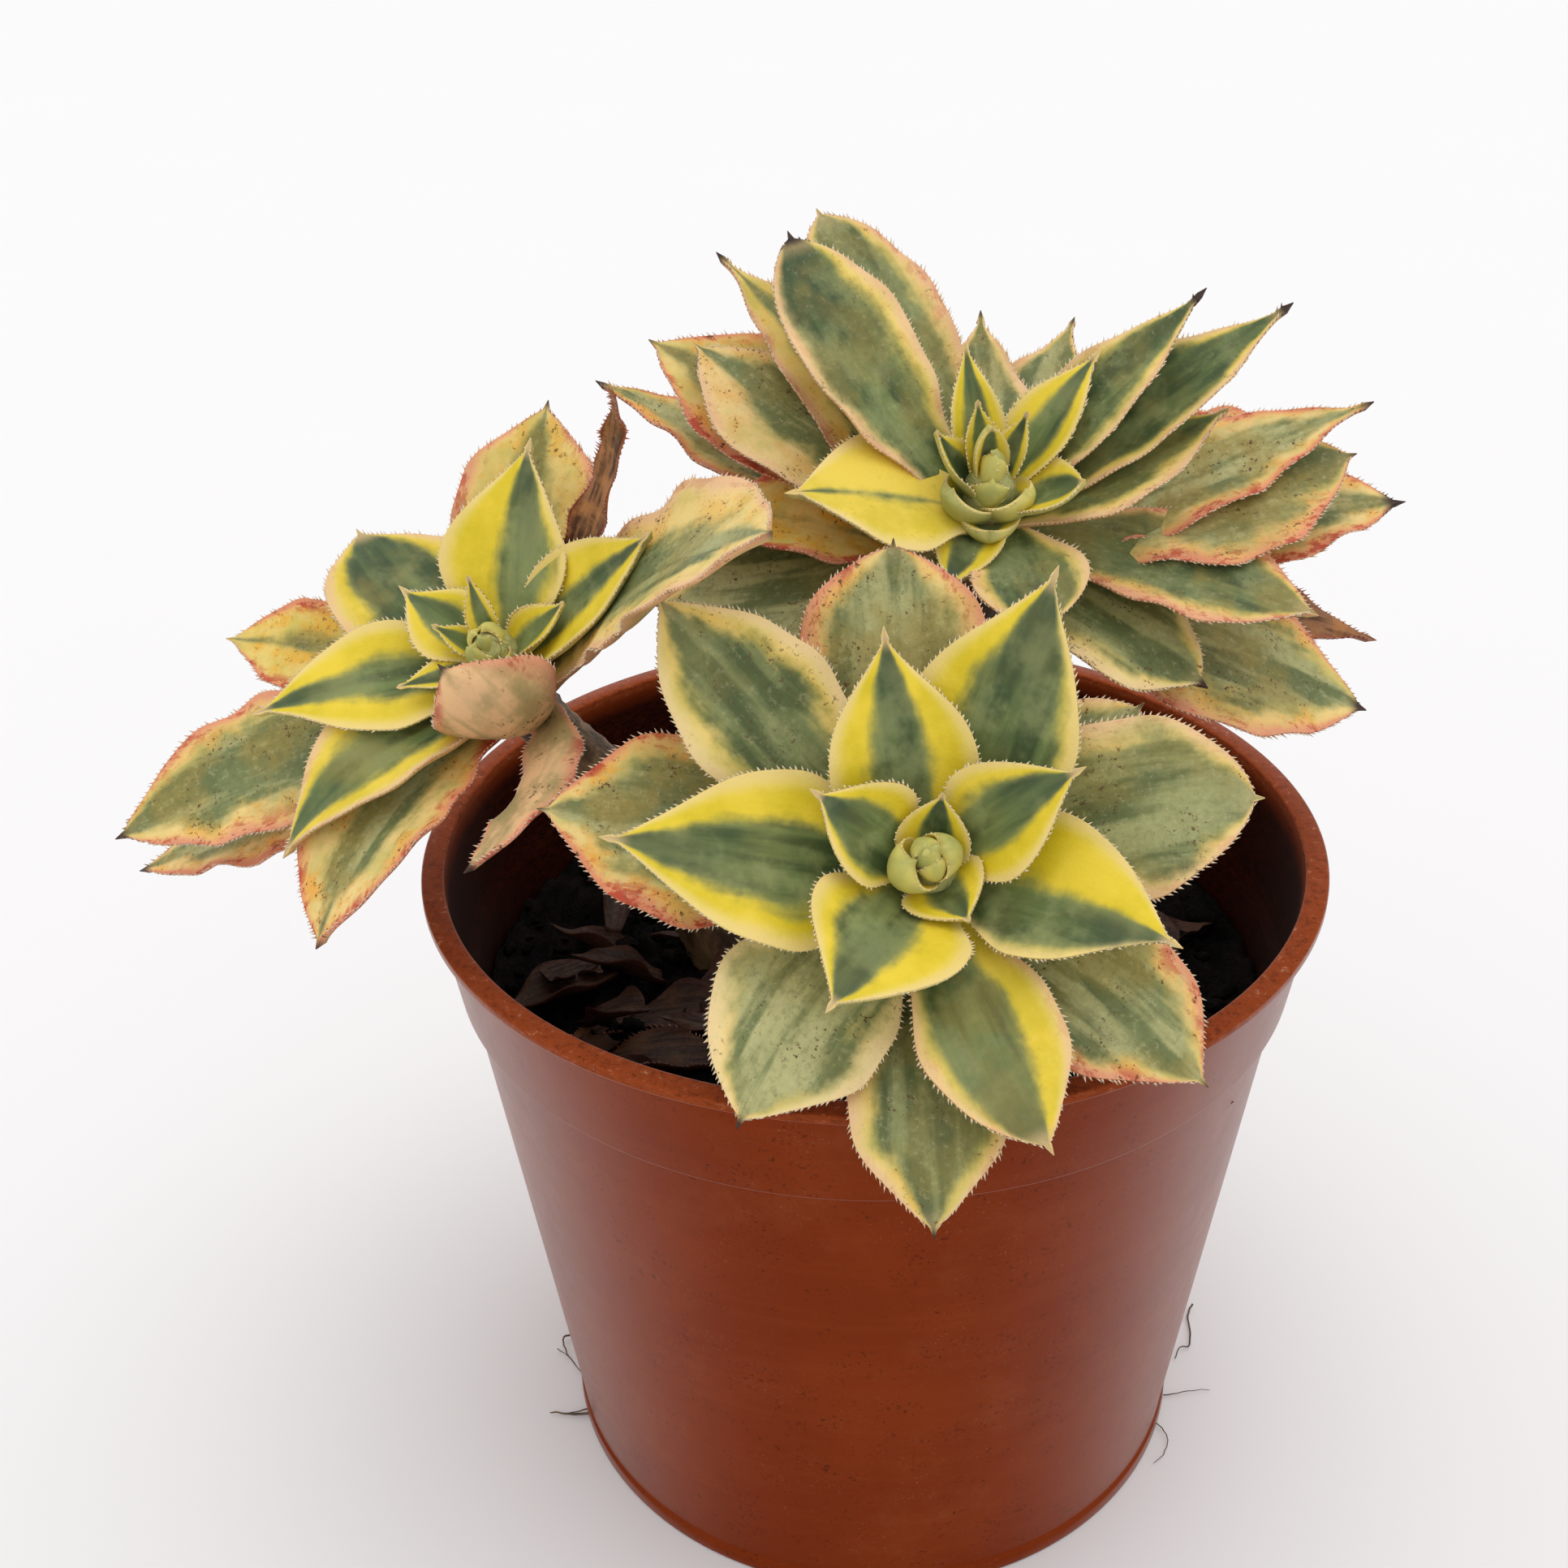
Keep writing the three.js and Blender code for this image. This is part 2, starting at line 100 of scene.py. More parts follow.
# %% Leaf rows
LEAVES = {
    "front": [
        (154, 2.5, 48, -20, -2, 0, 12, 11, 30, "young", "fresh"),
        (31, 3, 44, -20, -7, -2, 16, 12, 30, "young", "fresh"),
        (243, 3.2, 42, -20, -7, 0, 18, 16.5, 25, "young", "fresh"),
        (107, 3.8, 35, -15, -11, 0, 21, 15, 20, "young", "fresh"),
        (352, 4.2, 29, -20, -26, -3, 23, 15, 25, "young", "fresh"),
        (180, 4.8, 25, -15, -5, 0, 29, 18, 15, "young", "fresh"),
        (65, 5.2, 28, -15, 1, 0, 29, 18, 15, "young", "fresh"),
        (285, 5.8, 23, -25, 14, 0, 27, 14, 15, "spoon", "green"),
        (139, 6.4, 20, -10, -7, 0, 35, 16, 10, "spoon", "green"),
        (25, 7, 19, -12, -28, 0, 30, 18, 5, "round", "green"),
        (223, 7.4, 20, -27, 22, 0, 28, 18, 10, "spoon", "green"),
        (102, 8, 16, -10, -13, 0, 31, 21, 5, "round", "pale"),
        (330, 8.4, 15, -20, -17, 0, 30, 16, 10, "spoon", "pale"),
        (165, 9, 10, -10, 10, 0, 36, 20, 10, "spoon", "pale"),
        (37, 9.6, 12, -10, 5, 0, 24.5, 13, 10, "round", "pale"),
        (268, 9.8, 22, -45, 5, 0, 32, 16, 5, "spoon", "pale"),
    ],
    "back": [
        (47, 3, 40, -10, 0, 0, 16, 8, 40, "young", "fresh"),
        (186, 4, 21, -15, 12, 0, 19, 17, 5, "young", "fresh"),
        (8, 4.5, 20, -5, 20, 0, 24, 14, 20, "young", "green"),
        (37, 4.6, 37, -8, 0, 0, 28.5, 10, 35, "young", "green"),
        (292, 5, 6, -20, 3, 0, 13, 13, 20, "round", "green"),
        (145, 5.4, 33, -10, -22, 0, 33.5, 15, 15, "round", "green"),
        (118, 7.6, 28, -12, 5, 0, 37, 14.5, 12, "round", "green"),
        (28, 6, 29, 0, -3, 0, 35, 13, 40, "young", "green"),
        (90, 7, 10, 0, 0, 0, 25, 12, 30, "young", "pale"),
        (154, 7.5, 9, 0, -14, 0, 35, 18, 15, "spoon", "green"),
        (355, 8, 0, -10, -17, -3, 33, 15, 10, "spoon", "green"),
        (70, 9, 8, 0, 0, 0, 29, 13, 30, "young", "pale"),
        (14, 9.5, 5, -5, 6, 7, 40, 21, 10, "spoon", "pale"),
        (198, 10, -14, -10, -30, 0, 34, 20, 10, "spoon", "pale"),
        (331, 10.5, -4, -15, -6, 0, 25, 16, 10, "spoon", "rose"),
        (141, 11, 8, 5, 14, -8, 41, 18, 20, "spoon", "pale"),
        (23, 11.5, 10, 5, -5, 6, 43, 15, 25, "young", "rose"),
        (129, 12, 23, 0, 14, -3, 41, 14, 30, "young", "rose"),
        (344, 12.5, -12, -15, 10, 3, 44, 20, 5, "spoon", "pale"),
        (20, 13.5, 3, -5, -15, 5, 46, 16, 10, "spoon", "rose"),
        (147, 14, 2, 0, 6, -3, 47, 13, 30, "young", "rose"),
        (8, 15, -10, -10, -12, 12, 45, 15, 10, "young", "dry"),
        (172, 13.6, 14, -76, -6, 0, 41, 12, 25, "young", "rose"),
    ],
    "left": [
        (147, 2.5, 27, -10, -10, -1, 10, 9, 25, "young", "fresh"),
        (79, 4, 34, -10, -12, -8, 21, 16, 20, "young", "fresh"),
        (183, 5, 19, -10, 19, -2, 24, 14, 15, "young", "fresh"),
        (20, 5, 31, 5, -11, 2, 22, 13, 45, "young", "fresh"),
        (292, 10.4, 41, 108, -20, 0, 19.5, 15, 42, "spoon", "rose"),
        (45, 9.6, 40, 60, -27, 0, 43.5, 4.5, 40, "young", "dry"),
        (220, 7.6, 26, -60, 0, 6, 29, 15, 35, "young", "green"),
        (140, 6.5, 5, -5, -15, 25, 27, 18, 15, "spoon", "green"),
        (84, 7.5, 22, 0, -12, 10, 28, 17, 20, "spoon", "pale"),
        (188, 9, 4, -10, 14, -8, 46, 17, 10, "spoon", "pale"),
        (14, 9, 40, 5, -39, -43, 47, 19, 20, "spoon", "pale"),
        (227, 8.8, 17, -26, 28, 24, 33.5, 19, 18, "spoon", "pale"),
        (159, 10, 5, -10, 5, -10, 37, 13, 15, "spoon", "rose"),
        (313, 11, 30, 0, -80, 0, 28, 9.5, -40, "spoon", "rose"),
        (197, 12, -6, -10, -12, 15, 51, 12, 10, "spoon", "rose"),
    ],
}
print({name: len(rows) for name, rows in LEAVES.items()})

# %% [markdown]
# A tone says how a leaf is coloured. Yellow is how lemon its bands are, and cream takes over as it falls.
# Blush is how red an old leaf has turned, green how much of the half width the green middle takes, lean
# how far that middle sits off to one side, and dry how much of the tip has died. Belly shows the paler
# under side on both faces, for a leaf that is folded shut. Single leaves differ from their tone, and those
# differences are listed by rosette and by the leaf's number in it.

# %% Leaf tones
def tone(yellow, blush, green, dry=0.0, lean=0.0, belly=0.0):
    return dict(yellow=yellow, blush=blush, green=green, dry=dry, lean=lean, belly=belly)


TONES = {
    "fresh": tone(1.0, 0.16, 0.46),
    "green": tone(0.5, 0.5, 0.74),
    "pale": tone(0.2, 0.5, 0.8, dry=0.015),
    "rose": tone(0.1, 1.0, 0.64, dry=0.03),
    "bud": tone(0.95, 0.04, 0.5),
    "dry": tone(0.0, 1.0, 0.3, dry=0.1),
}
SPECIAL = {
    "front": {
        1: dict(green=0.62, lean=0.12),
        2: dict(green=0.5, lean=0.1),
        3: dict(green=0.48, lean=-0.1),
        4: dict(green=0.44),
        5: dict(green=0.5, lean=-0.42),
        6: dict(green=0.5, lean=0.05),
        7: dict(green=0.62, lean=-0.2),
        8: dict(green=0.62, lean=-0.22, yellow=0.9),
        9: dict(green=0.62, yellow=0.4, blush=0.3),
        10: dict(green=0.86, yellow=0.3, blush=0.5),
        11: dict(green=0.8, dry=0.02, yellow=0.1, blush=0.3),
        12: dict(green=0.8, blush=0.8),
        13: dict(blush=0.75, green=0.76),
        # Leaf 14's green and blush are partly its own colour and partly painted shade that darkens it
        14: dict(blush=1.0, green=0.64),
        16: dict(blush=0.5, yellow=0.35, green=0.66, dry=0.02),
    },
    "back": {
        2: dict(green=0.1, lean=0.05, yellow=0.85),
        4: dict(dry=0.06),
        5: dict(green=0.8, yellow=0.6),
        6: dict(dry=0.045, green=0.8, yellow=0.6, lean=0.1),
        7: dict(green=0.82, yellow=0.4, blush=0.6),
        8: dict(dry=0.04, yellow=0.7),
        10: dict(green=0.5, blush=0.5, yellow=0.08, lean=-0.16),
        11: dict(green=0.82, blush=0.7),
        13: dict(blush=0.85, green=0.78),
        15: dict(yellow=0.3, blush=0.3, green=0.78),
        16: dict(blush=0.95, green=0.45),
        18: dict(blush=0.6, yellow=0.4, green=0.4),
        19: dict(dry=0.04, blush=0.8, green=0.66),
        20: dict(dry=0.05),
        23: dict(green=0.05, yellow=0.35),
    },
    "left": {
        2: dict(lean=-0.3, green=0.5),
        3: dict(green=0.4),
        4: dict(green=0.3),
        5: dict(belly=0.72, blush=0.85, green=0.5),
        7: dict(yellow=0.9, green=0.56, lean=-0.05),
        8: dict(yellow=0.9, green=0.6),
        9: dict(yellow=0.3, blush=0.75, green=0.36),
        10: dict(dry=0.03, blush=0.8, green=0.66),
        11: dict(blush=0.55, green=0.5, yellow=0.25),
        12: dict(blush=1.0, green=0.42, yellow=0.15),
        13: dict(green=0.16, yellow=0.4, dry=0.0),
        14: dict(belly=1.0),
    },
}

# %% [markdown]
# Turning an angle into a direction comes up for every leaf and stem, so the rosette gets its own small
# frame: along its axis, towards the right, and up the slope behind it.

# %% Rosette frames
def unit(vector):
    return np.asarray(vector, float) / np.linalg.norm(vector)


def rosette_frame(rosette):
    along = unit(rosette["axis"])
    right = unit(np.array([1.0, 0, 0]) - along * along[0])
    return along, right, np.cross(along, right)


for name, rosette in ROSETTES.items():
    print(name, "faces", [round(float(c), 2) for c in rosette_frame(rosette)[0]])

# %% [markdown]
# A leaf could be a flat plane with a picture on it, but a succulent leaf is thick, cupped and seen from
# every side. Here it is swept instead: stations follow a midrib that rises, bends and sways, and each
# station carries a section whose two halves curl up. The skin closes over the edge and ends in the short
# drawn-out point that these leaves have.

# %% The swept leaf
STATIONS = 44
ACROSS = 19
TIP_CROWDING = 1.3
TIP_HALF_WIDTH = 0.35
TIP_THINNING = 0.55
FULL_GROWN_WIDTH = 14
FOOT_CUP, CUP_LOSS = 1.35, 0.7
POINT_STEPS = ((0.35, 0.66), (0.7, 0.36), (1.0, 0.12))


def half_width_share(t, outline):
    shape = OUTLINES[outline]
    rising = shape["foot"] + (1 - shape["foot"]) * np.sin(np.pi / 2 * np.clip(t / shape["widest"], 0, 1)) ** 2
    past = np.clip((t - shape["widest"]) / (1 - shape["widest"]), 0, 1)
    return np.where(t < shape["widest"], rising, np.clip(np.cos(np.pi / 2 * past), 0, 1) ** shape["point"])


def leaf_stations(rosette, row, stations=STATIONS, point=1.0):
    """Where the midrib runs, and the way it faces, its width and its thickness at each station."""
    turn, seat, rise, bend, sway, roll, length, width, cup, outline = row[:10]
    along, right, back = rosette_frame(rosette)
    radial = math.cos(math.radians(turn)) * right + math.sin(math.radians(turn)) * back
    around = np.cross(along, radial)
    t = 1 - (1 - np.linspace(0, 1, stations)) ** TIP_CROWDING
    e = np.radians(rise + bend * t * t)[:, None]
    s = np.radians(sway * t)[:, None]
    r = np.radians(roll * t)[:, None]
    out = np.cos(e) * radial + np.sin(e) * along
    up = np.cos(e) * along - np.sin(e) * radial
    ahead = np.cos(s) * out + np.sin(s) * around
    flat = np.cos(s) * around - np.sin(s) * out
    side = np.cos(r) * flat + np.sin(r) * up
    face = np.cos(r) * up - np.sin(r) * flat
    full = length + LEAF_FOOT_DEPTH
    steps = (ahead[1:] + ahead[:-1]) / 2 * (full * np.diff(t))[:, None]
    foot = np.array(rosette["apex"]) - along * seat + radial * (rosette["stem"] - LEAF_FOOT_DEPTH)
    place = foot + np.vstack([np.zeros(3), np.cumsum(steps, axis=0)])
    half = np.maximum(half_width_share(t, outline) * width / 2, TIP_HALF_WIDTH)
    plump = OUTLINES[outline]["plump"]
    thick = LEAF_THICKNESS * (1 - TIP_THINNING * t) * min(1, width / FULL_GROWN_WIDTH) * plump
    curve = np.radians(cup) / (width / 2) * (FOOT_CUP - CUP_LOSS * t) + 1e-6
    for reach, share in POINT_STEPS:
        place = np.vstack([place, place[stations - 1] + ahead[stations - 1] * reach * point])
        half = np.append(half, TIP_HALF_WIDTH * share)
        thick = np.append(thick, thick[stations - 1] * share)
        t = np.append(t, 1 + reach * point / full)
    last = len(POINT_STEPS)
    extend = lambda values: np.vstack([values] + [values[-1]] * last)
    curve = np.append(curve, [curve[-1]] * last)
    return dict(t=t, place=place, ahead=extend(ahead), side=extend(side), face=extend(face),
                half=half, thick=thick, curve=curve, length=full, width=width, plump=plump)


# %% [markdown]
# The skin is two grids of points, the upper and the under side, that meet at a thin rim. A smooth shell
# would look cast, so the edge waves with age, a groove runs along the upper face, a keel along the under
# face, and each half swells a little.

# %% Leaf skin
RIM = 0.32
GROOVE_DEPTH = 0.22
KEEL_DEPTH = 0.18
SWELL_HEIGHT = 0.1


def skin_grid(run, wave, rng):
    """Upper and under side as grids of points, with the attribute values of each point."""
    count = len(run["t"])
    v = np.sin(np.linspace(-1, 1, ACROSS) * np.pi / 2)
    phase = rng.uniform(0, 6.28, 4)
    t = run["t"][:, None]
    s = np.clip(t, 0, 1) * run["length"]
    uneven = 1 + 0.11 * wave * np.sin(s * 0.7 + phase[3] + (v > 0) * phase[2])
    arc = np.abs(v)[None, :] * run["half"][:, None] * uneven
    curve = run["curve"][:, None]
    x = np.sin(curve * arc) / curve * np.sign(v)
    z = (1 - np.cos(curve * arc)) / curve
    far = v > 0
    ripple = np.sin(s * 0.42 + phase[0] + far * phase[1]) + 0.6 * np.sin(s * 0.95 + phase[2] + far * phase[3])
    settle = np.clip(t * 3, 0, 1) * np.clip((1.05 - t) * 4, 0, 1)
    z = z + wave * ripple * np.abs(v) ** 2.2 * settle
    rim = RIM * run["plump"] * min(1, run["width"] / 12) * np.clip((1.06 - t) * 8, 0.15, 1)
    groove = GROOVE_DEPTH * np.exp(-(v / 0.13) ** 2) * np.clip(1.1 - t, 0, 1)
    groove = groove * min(1, run["width"] / FULL_GROWN_WIDTH)
    belly = (run["thick"][:, None] - rim * 0.6).clip(0.03) * (1 - v ** 2) ** 0.62
    keel = KEEL_DEPTH * np.exp(-(v / 0.16) ** 2) * np.clip(1 - t, 0, 1)
    swell = SWELL_HEIGHT * np.sin(np.pi * np.abs(v)) * settle
    grids = []
    for lift in (swell - groove, -rim - belly - keel):
        height = (z + lift)[:, :, None]
        grids.append(run["place"][:, None, :] + run["side"][:, None, :] * x[:, :, None]
                     + run["face"][:, None, :] * height)
    shares = np.dstack([np.broadcast_to(t, x.shape), np.broadcast_to(v, x.shape), np.zeros(x.shape)])
    places = np.dstack([np.broadcast_to(s, x.shape), x, np.full(x.shape, rng.uniform(0, 400))])
    return grids, shares, places, count


print("points on a leaf's skin:", 2 * ACROSS * (STATIONS + len(POINT_STEPS)))

# %% [markdown]
# The leaf's edge carries a row of pale teeth that point forward, one or two every millimetre. They could be
# painted on, but they show against the light, so they are small spikes standing on the edge, and no two are
# alike. The foot of the leaf and the last millimetre of its tip stay bare.

# %% Teeth
TOOTH_SPACING = 0.55
TOOTH_LENGTH = 0.66
TOOTH_ROOT = 0.12
TOOTH_HALF_WIDTH = 0.16
TOOTH_WEAR = (0.35, 0.35, 0.35, 1.0)
TOOTH_PATTERN_SHIFT = 50
BARE_FOOT, BARE_TIP = 0.1, 1.2


def tooth_row(top, under, run, sign, rng, scale):
    """Spikes along one edge, as points and faces, each standing on the rim and pointing forward."""
    column = -1 if sign > 0 else 0
    edge = (top[:, column] + under[:, column]) / 2
    inner = (top[:, column - sign] + under[:, column - sign]) / 2
    steps = np.linalg.norm(np.diff(edge, axis=0), axis=1)
    reach = np.concatenate([[0], np.cumsum(steps)])
    spots = []
    spot = reach[-1] * BARE_FOOT
    while spot < reach[-1] - BARE_TIP:
        spots.append(spot)
        spot += TOOTH_SPACING * rng.uniform(0.7, 1.4)
    points, faces, shares = [], [], []
    for spot in spots:
        i = min(int(np.searchsorted(reach, spot)), len(reach) - 2)
        share = (spot - reach[i - 1]) / max(reach[i] - reach[i - 1], 1e-6)
        at = edge[i - 1] * (1 - share) + edge[i] * share
        forward = unit(edge[i + 1] - edge[i - 1] + 1e-9)
        outward = edge[i] - inner[i]
        outward = unit(outward - forward * float(outward @ forward) + 1e-9)
        normal = np.cross(forward, outward)
        size = TOOTH_LENGTH * scale * rng.uniform(0.55, 1.25) * min(1, 0.35 + 2 * run["t"][i])
        lean = rng.uniform(0.5, 1.15)
        tip = at + unit(outward + forward * lean + normal * rng.uniform(-0.25, 0.45)) * size
        wide = TOOTH_HALF_WIDTH + 0.08 * rng.random()
        base = at - outward * TOOTH_ROOT
        start = len(points)
        points += [base - forward * wide + normal * TOOTH_ROOT, base + forward * wide + normal * TOOTH_ROOT,
                   base - normal * TOOTH_HALF_WIDTH, tip]
        faces += [(start, start + 1, start + 3), (start + 1, start + 2, start + 3),
                  (start + 2, start, start + 3), (start + 1, start, start + 2)]
        shares += [(run["t"][i], sign, 0)] * 4
    return points, faces, shares


print("teeth to a centimetre:", round(10 / TOOTH_SPACING))

# %% [markdown]
# Skin and teeth become one mesh, because they grow as one. Four attributes go with every point: its share
# of the length and width, its place in mm, the leaf's colouring and its wear. The materials read them,
# which keeps the stripes lengthwise however the leaf bends.

# %% A whole leaf
def leaf_arrays(rosette, row, look, rng, wave=0.25, teeth=1.0, point=1.0, stations=STATIONS):
    """One whole leaf as points, faces and attribute rows."""
    run = leaf_stations(rosette, row, stations, point)
    (top, under), shares, places, count = skin_grid(run, wave, rng)
    number = lambda layer, i, j: (layer * count + i) * ACROSS + j
    faces = []
    for i in range(count - 1):
        for j in range(ACROSS - 1):
            faces.append((number(0, i, j), number(0, i, j + 1), number(0, i + 1, j + 1), number(0, i + 1, j)))
            faces.append((number(1, i, j), number(1, i + 1, j), number(1, i + 1, j + 1), number(1, i, j + 1)))
        faces.append((number(0, i, 0), number(0, i + 1, 0), number(1, i + 1, 0), number(1, i, 0)))
        last = ACROSS - 1
        faces.append((number(0, i, last), number(1, i, last), number(1, i + 1, last), number(0, i + 1, last)))
    for j in range(ACROSS - 1):
        faces.append((number(0, 0, j), number(1, 0, j), number(1, 0, j + 1), number(0, 0, j + 1)))
        end = count - 1
        faces.append((number(0, end, j), number(0, end, j + 1), number(1, end, j + 1), number(1, end, j)))
    shares[:, :, 2] = look["belly"]
    below = shares.copy()
    below[:, :, 2] = 1
    points = [top.reshape(-1, 3), under.reshape(-1, 3)]
    share_rows = [shares.reshape(-1, 3), below.reshape(-1, 3)]
    place_rows = [places.reshape(-1, 3)] * 2
    tooth_flags = [np.zeros(2 * count * ACROSS)]
    if teeth:
        for sign in (-1, 1):
            extra, more, tooth_shares = tooth_row(top, under, run, sign, rng, teeth)
            offset = sum(len(p) for p in points)
            faces += [tuple(offset + k for k in face) for face in more]
            points.append(np.array(extra))
            share_rows.append(np.array(tooth_shares, float))
            place_rows.append(np.array(extra) + TOOTH_PATTERN_SHIFT)
            tooth_flags.append(np.tile(TOOTH_WEAR, len(extra) // 4))
    total = sum(len(p) for p in points)
    whole = lambda key: np.full(total, look[key])
    return dict(points=np.vstack(points) * MM, faces=faces, leaf_share=np.vstack(share_rows),
                leaf_place=np.vstack(place_rows),
                leaf_look=np.column_stack([whole("yellow"), whole("blush"), whole("green")]),
                leaf_wear=np.column_stack([whole("dry"), np.concatenate(tooth_flags), whole("lean")]))


trial = leaf_arrays(ROSETTES["front"], LEAVES["front"][0], TONES["fresh"], np.random.default_rng(1))
print("one young leaf:", len(trial["points"]), "points and", len(trial["faces"]), "faces")

# %% [markdown]
# Meshes come out of these arrays through one helper. Several small leaves can go into one piece, as in the
# heart of a rosette, where nobody would ever take a single scale away.

# %% Arrays to pieces
ATTRIBUTES = ("leaf_share", "leaf_place", "leaf_look", "leaf_wear")


def piece_from(name, parts, material):
    mesh = bpy.data.meshes.new(name)
    points = np.vstack([part["points"] for part in parts])
    faces, offset = [], 0
    for part in parts:
        faces += [tuple(offset + k for k in face) for face in part["faces"]]
        offset += len(part["points"])
    mesh.from_pydata(points.tolist(), [], faces)
    for key in ATTRIBUTES:
        if key in parts[0]:
            values = np.vstack([part[key] for part in parts]).astype(np.float32)
            layer = mesh.attributes.new(key, "FLOAT_VECTOR", "POINT")
            layer.data.foreach_set("vector", values.ravel())
    mesh.shade_smooth()
    mesh.materials.append(material)
    piece = bpy.data.objects.new(name, mesh)
    bpy.context.collection.objects.link(piece)
    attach(piece, "root")
    return piece


# %% [markdown]
# Materials are wired by hand many times over, so a small board keeps that short: each call adds one node
# and gives back its output. It only saves typing, and what it builds is an ordinary node tree.

# %% A wiring board for nodes
def srgb(red, green, blue):
    """A colour read off a screen, 0 to 255, as the linear values that Blender mixes."""
    linear = lambda c: c / 12.92 if c <= 0.04045 else ((c + 0.055) / 1.055) ** 2.4
    return tuple(linear(c / 255) for c in (red, green, blue)) + (1.0,)


class Board:
    def __init__(self, tree):
        self.tree = tree

    def add(self, kind, inputs=(), out=0, **settings):
        node = self.tree.nodes.new(kind)
        for key, value in settings.items():
            setattr(node, key, value)
        for key, value in dict(inputs).items():
            self.feed(node.inputs[key], value)
        return node.outputs[out]

    def feed(self, socket, value):
        if isinstance(value, bpy.types.NodeSocket):
            self.tree.links.new(value, socket)
        else:
            socket.default_value = value

    def math(self, operation, a, b=0.0, clamp=False):
        return self.add("ShaderNodeMath", {0: a, 1: b}, operation=operation, use_clamp=clamp)

    def times(self, a, *others, clamp=False):
        for other in others:
            a = self.math("MULTIPLY", a, other, clamp)
        return a

    def plus(self, a, b):
        return self.math("ADD", a, b)

    def minus(self, a, b):
        return self.math("SUBTRACT", a, b)

    def ramp(self, value, low, high, to_low=0.0, to_high=1.0):
        """A soft step: to_low below low, to_high above high."""
        return self.add("ShaderNodeMapRange", {0: value, 1: low, 2: high, 3: to_low, 4: to_high},
                        interpolation_type="SMOOTHSTEP")

    def mix(self, share, a, b):
        return self.add("ShaderNodeMix", {0: share, 6: a, 7: b}, out=2, data_type="RGBA")

    def paint(self, colour, *coats):
        """Coats laid over a colour, each a share and its red, green and blue."""
        for share, coat in coats:
            colour = self.mix(share, colour, srgb(*coat))
        return colour

    def two_tone(self, value, low, high, first, second):
        """From one colour to another as a value steps softly from low to high."""
        return self.mix(self.ramp(value, low, high), srgb(*first), srgb(*second))

    def noise(self, place, scale, detail, rough):
        inputs = {"Vector": place, "Scale": scale, "Detail": detail, "Roughness": rough}
        return self.add("ShaderNodeTexNoise", inputs)

    def stretch(self, place, factors):
        return self.add("ShaderNodeVectorMath", {0: place, 1: factors}, operation="MULTIPLY")

    def split(self, place):
        node = self.tree.nodes.new("ShaderNodeSeparateXYZ")
        self.feed(node.inputs[0], place)
        return node.outputs

    def attribute(self, name):
        return self.add("ShaderNodeAttribute", out="Vector", attribute_name=name)

    def coat(self, shader, colour, grain, smooth, rough):
        """The shader's colour, and a roughness that the grain moves between two values."""
        self.feed(shader.inputs["Base Color"], colour)
        self.feed(shader.inputs["Roughness"], self.ramp(grain, 0.3, 0.7, smooth, rough))

    def bump(self, shader, height, strength, distance):
        inputs = {"Height": height, "Strength": strength, "Distance": distance}
        self.feed(shader.inputs["Normal"], self.add("ShaderNodeBump", inputs, out="Normal"))

    def group(self, tree, inputs):
        node = self.tree.nodes.new("ShaderNodeGroup")
        node.node_tree = tree
        for key, value in inputs.items():
            self.feed(node.inputs[key], value)
        return node.outputs


def new_group(name, inputs, outputs):
    """An empty node group with named sockets, its board, its inputs and a way to set its outputs."""
    tree = bpy.data.node_groups.new(name, "ShaderNodeTree")
    for socket, kind in inputs.items():
        tree.interface.new_socket(socket, in_out="INPUT", socket_type=kind)
    for socket, kind in outputs.items():
        tree.interface.new_socket(socket, in_out="OUTPUT", socket_type=kind)
    board = Board(tree)
    given = tree.nodes.new("NodeGroupInput").outputs
    results = tree.nodes.new("NodeGroupOutput").inputs
    return tree, board, given, results


def new_material(name):
    material = bpy.data.materials.new(name)
    material.use_nodes = True
    board = Board(material.node_tree)
    shader = material.node_tree.nodes["Principled BSDF"]
    return material, board, shader


# %% [markdown]
# Three effects turn up on more than one surface. Streaks run lengthwise in leaves and bark. Dust settles in
# pale specks and dark crumbs on everything that stands by potting soil. Soft mottling breaks up any colour
# that would otherwise look painted.

# %% Shared effects
def streaks_group():
    tree, b, given, results = new_group(
        "lengthwise_streaks",
        {"Place": "NodeSocketVector", "Fineness": "NodeSocketFloat"},
        {"Streak": "NodeSocketFloat", "Fibre": "NodeSocketFloat"})
    drawn = b.stretch(given["Place"], (0.16, 1.0, 1.0))
    b.feed(results["Streak"], b.noise(drawn, given["Fineness"], 3.0, 0.5))
    drawn_fine = b.stretch(given["Place"], (0.2, 2.0, 1.0))
    b.feed(results["Fibre"], b.noise(drawn_fine, given["Fineness"], 3.0, 0.5))
    return tree


def specks_group():
    tree, b, given, results = new_group(
        "dust_and_specks",
        {"Place": "NodeSocketVector", "Amount": "NodeSocketFloat"},
        {"Dust": "NodeSocketFloat", "Crumbs": "NodeSocketFloat"})
    patches = b.noise(given["Place"], 0.16, 3.0, 0.6)
    wanted = b.times(b.ramp(patches, 0.4, 0.68), given["Amount"])
    grains = b.ramp(b.noise(given["Place"], 2.6, 2.0, 0.7), 0.6, 0.72)
    b.feed(results["Dust"], b.times(grains, wanted))
    dots = b.ramp(b.noise(given["Place"], 1.8, 3.0, 0.75), 0.575, 0.64)
    chosen = b.ramp(b.noise(given["Place"], 0.2, 3.0, 0.65), 0.48, 0.6, 0.08, 1.0)
    b.feed(results["Crumbs"], b.times(dots, chosen, given["Amount"]))
    return tree


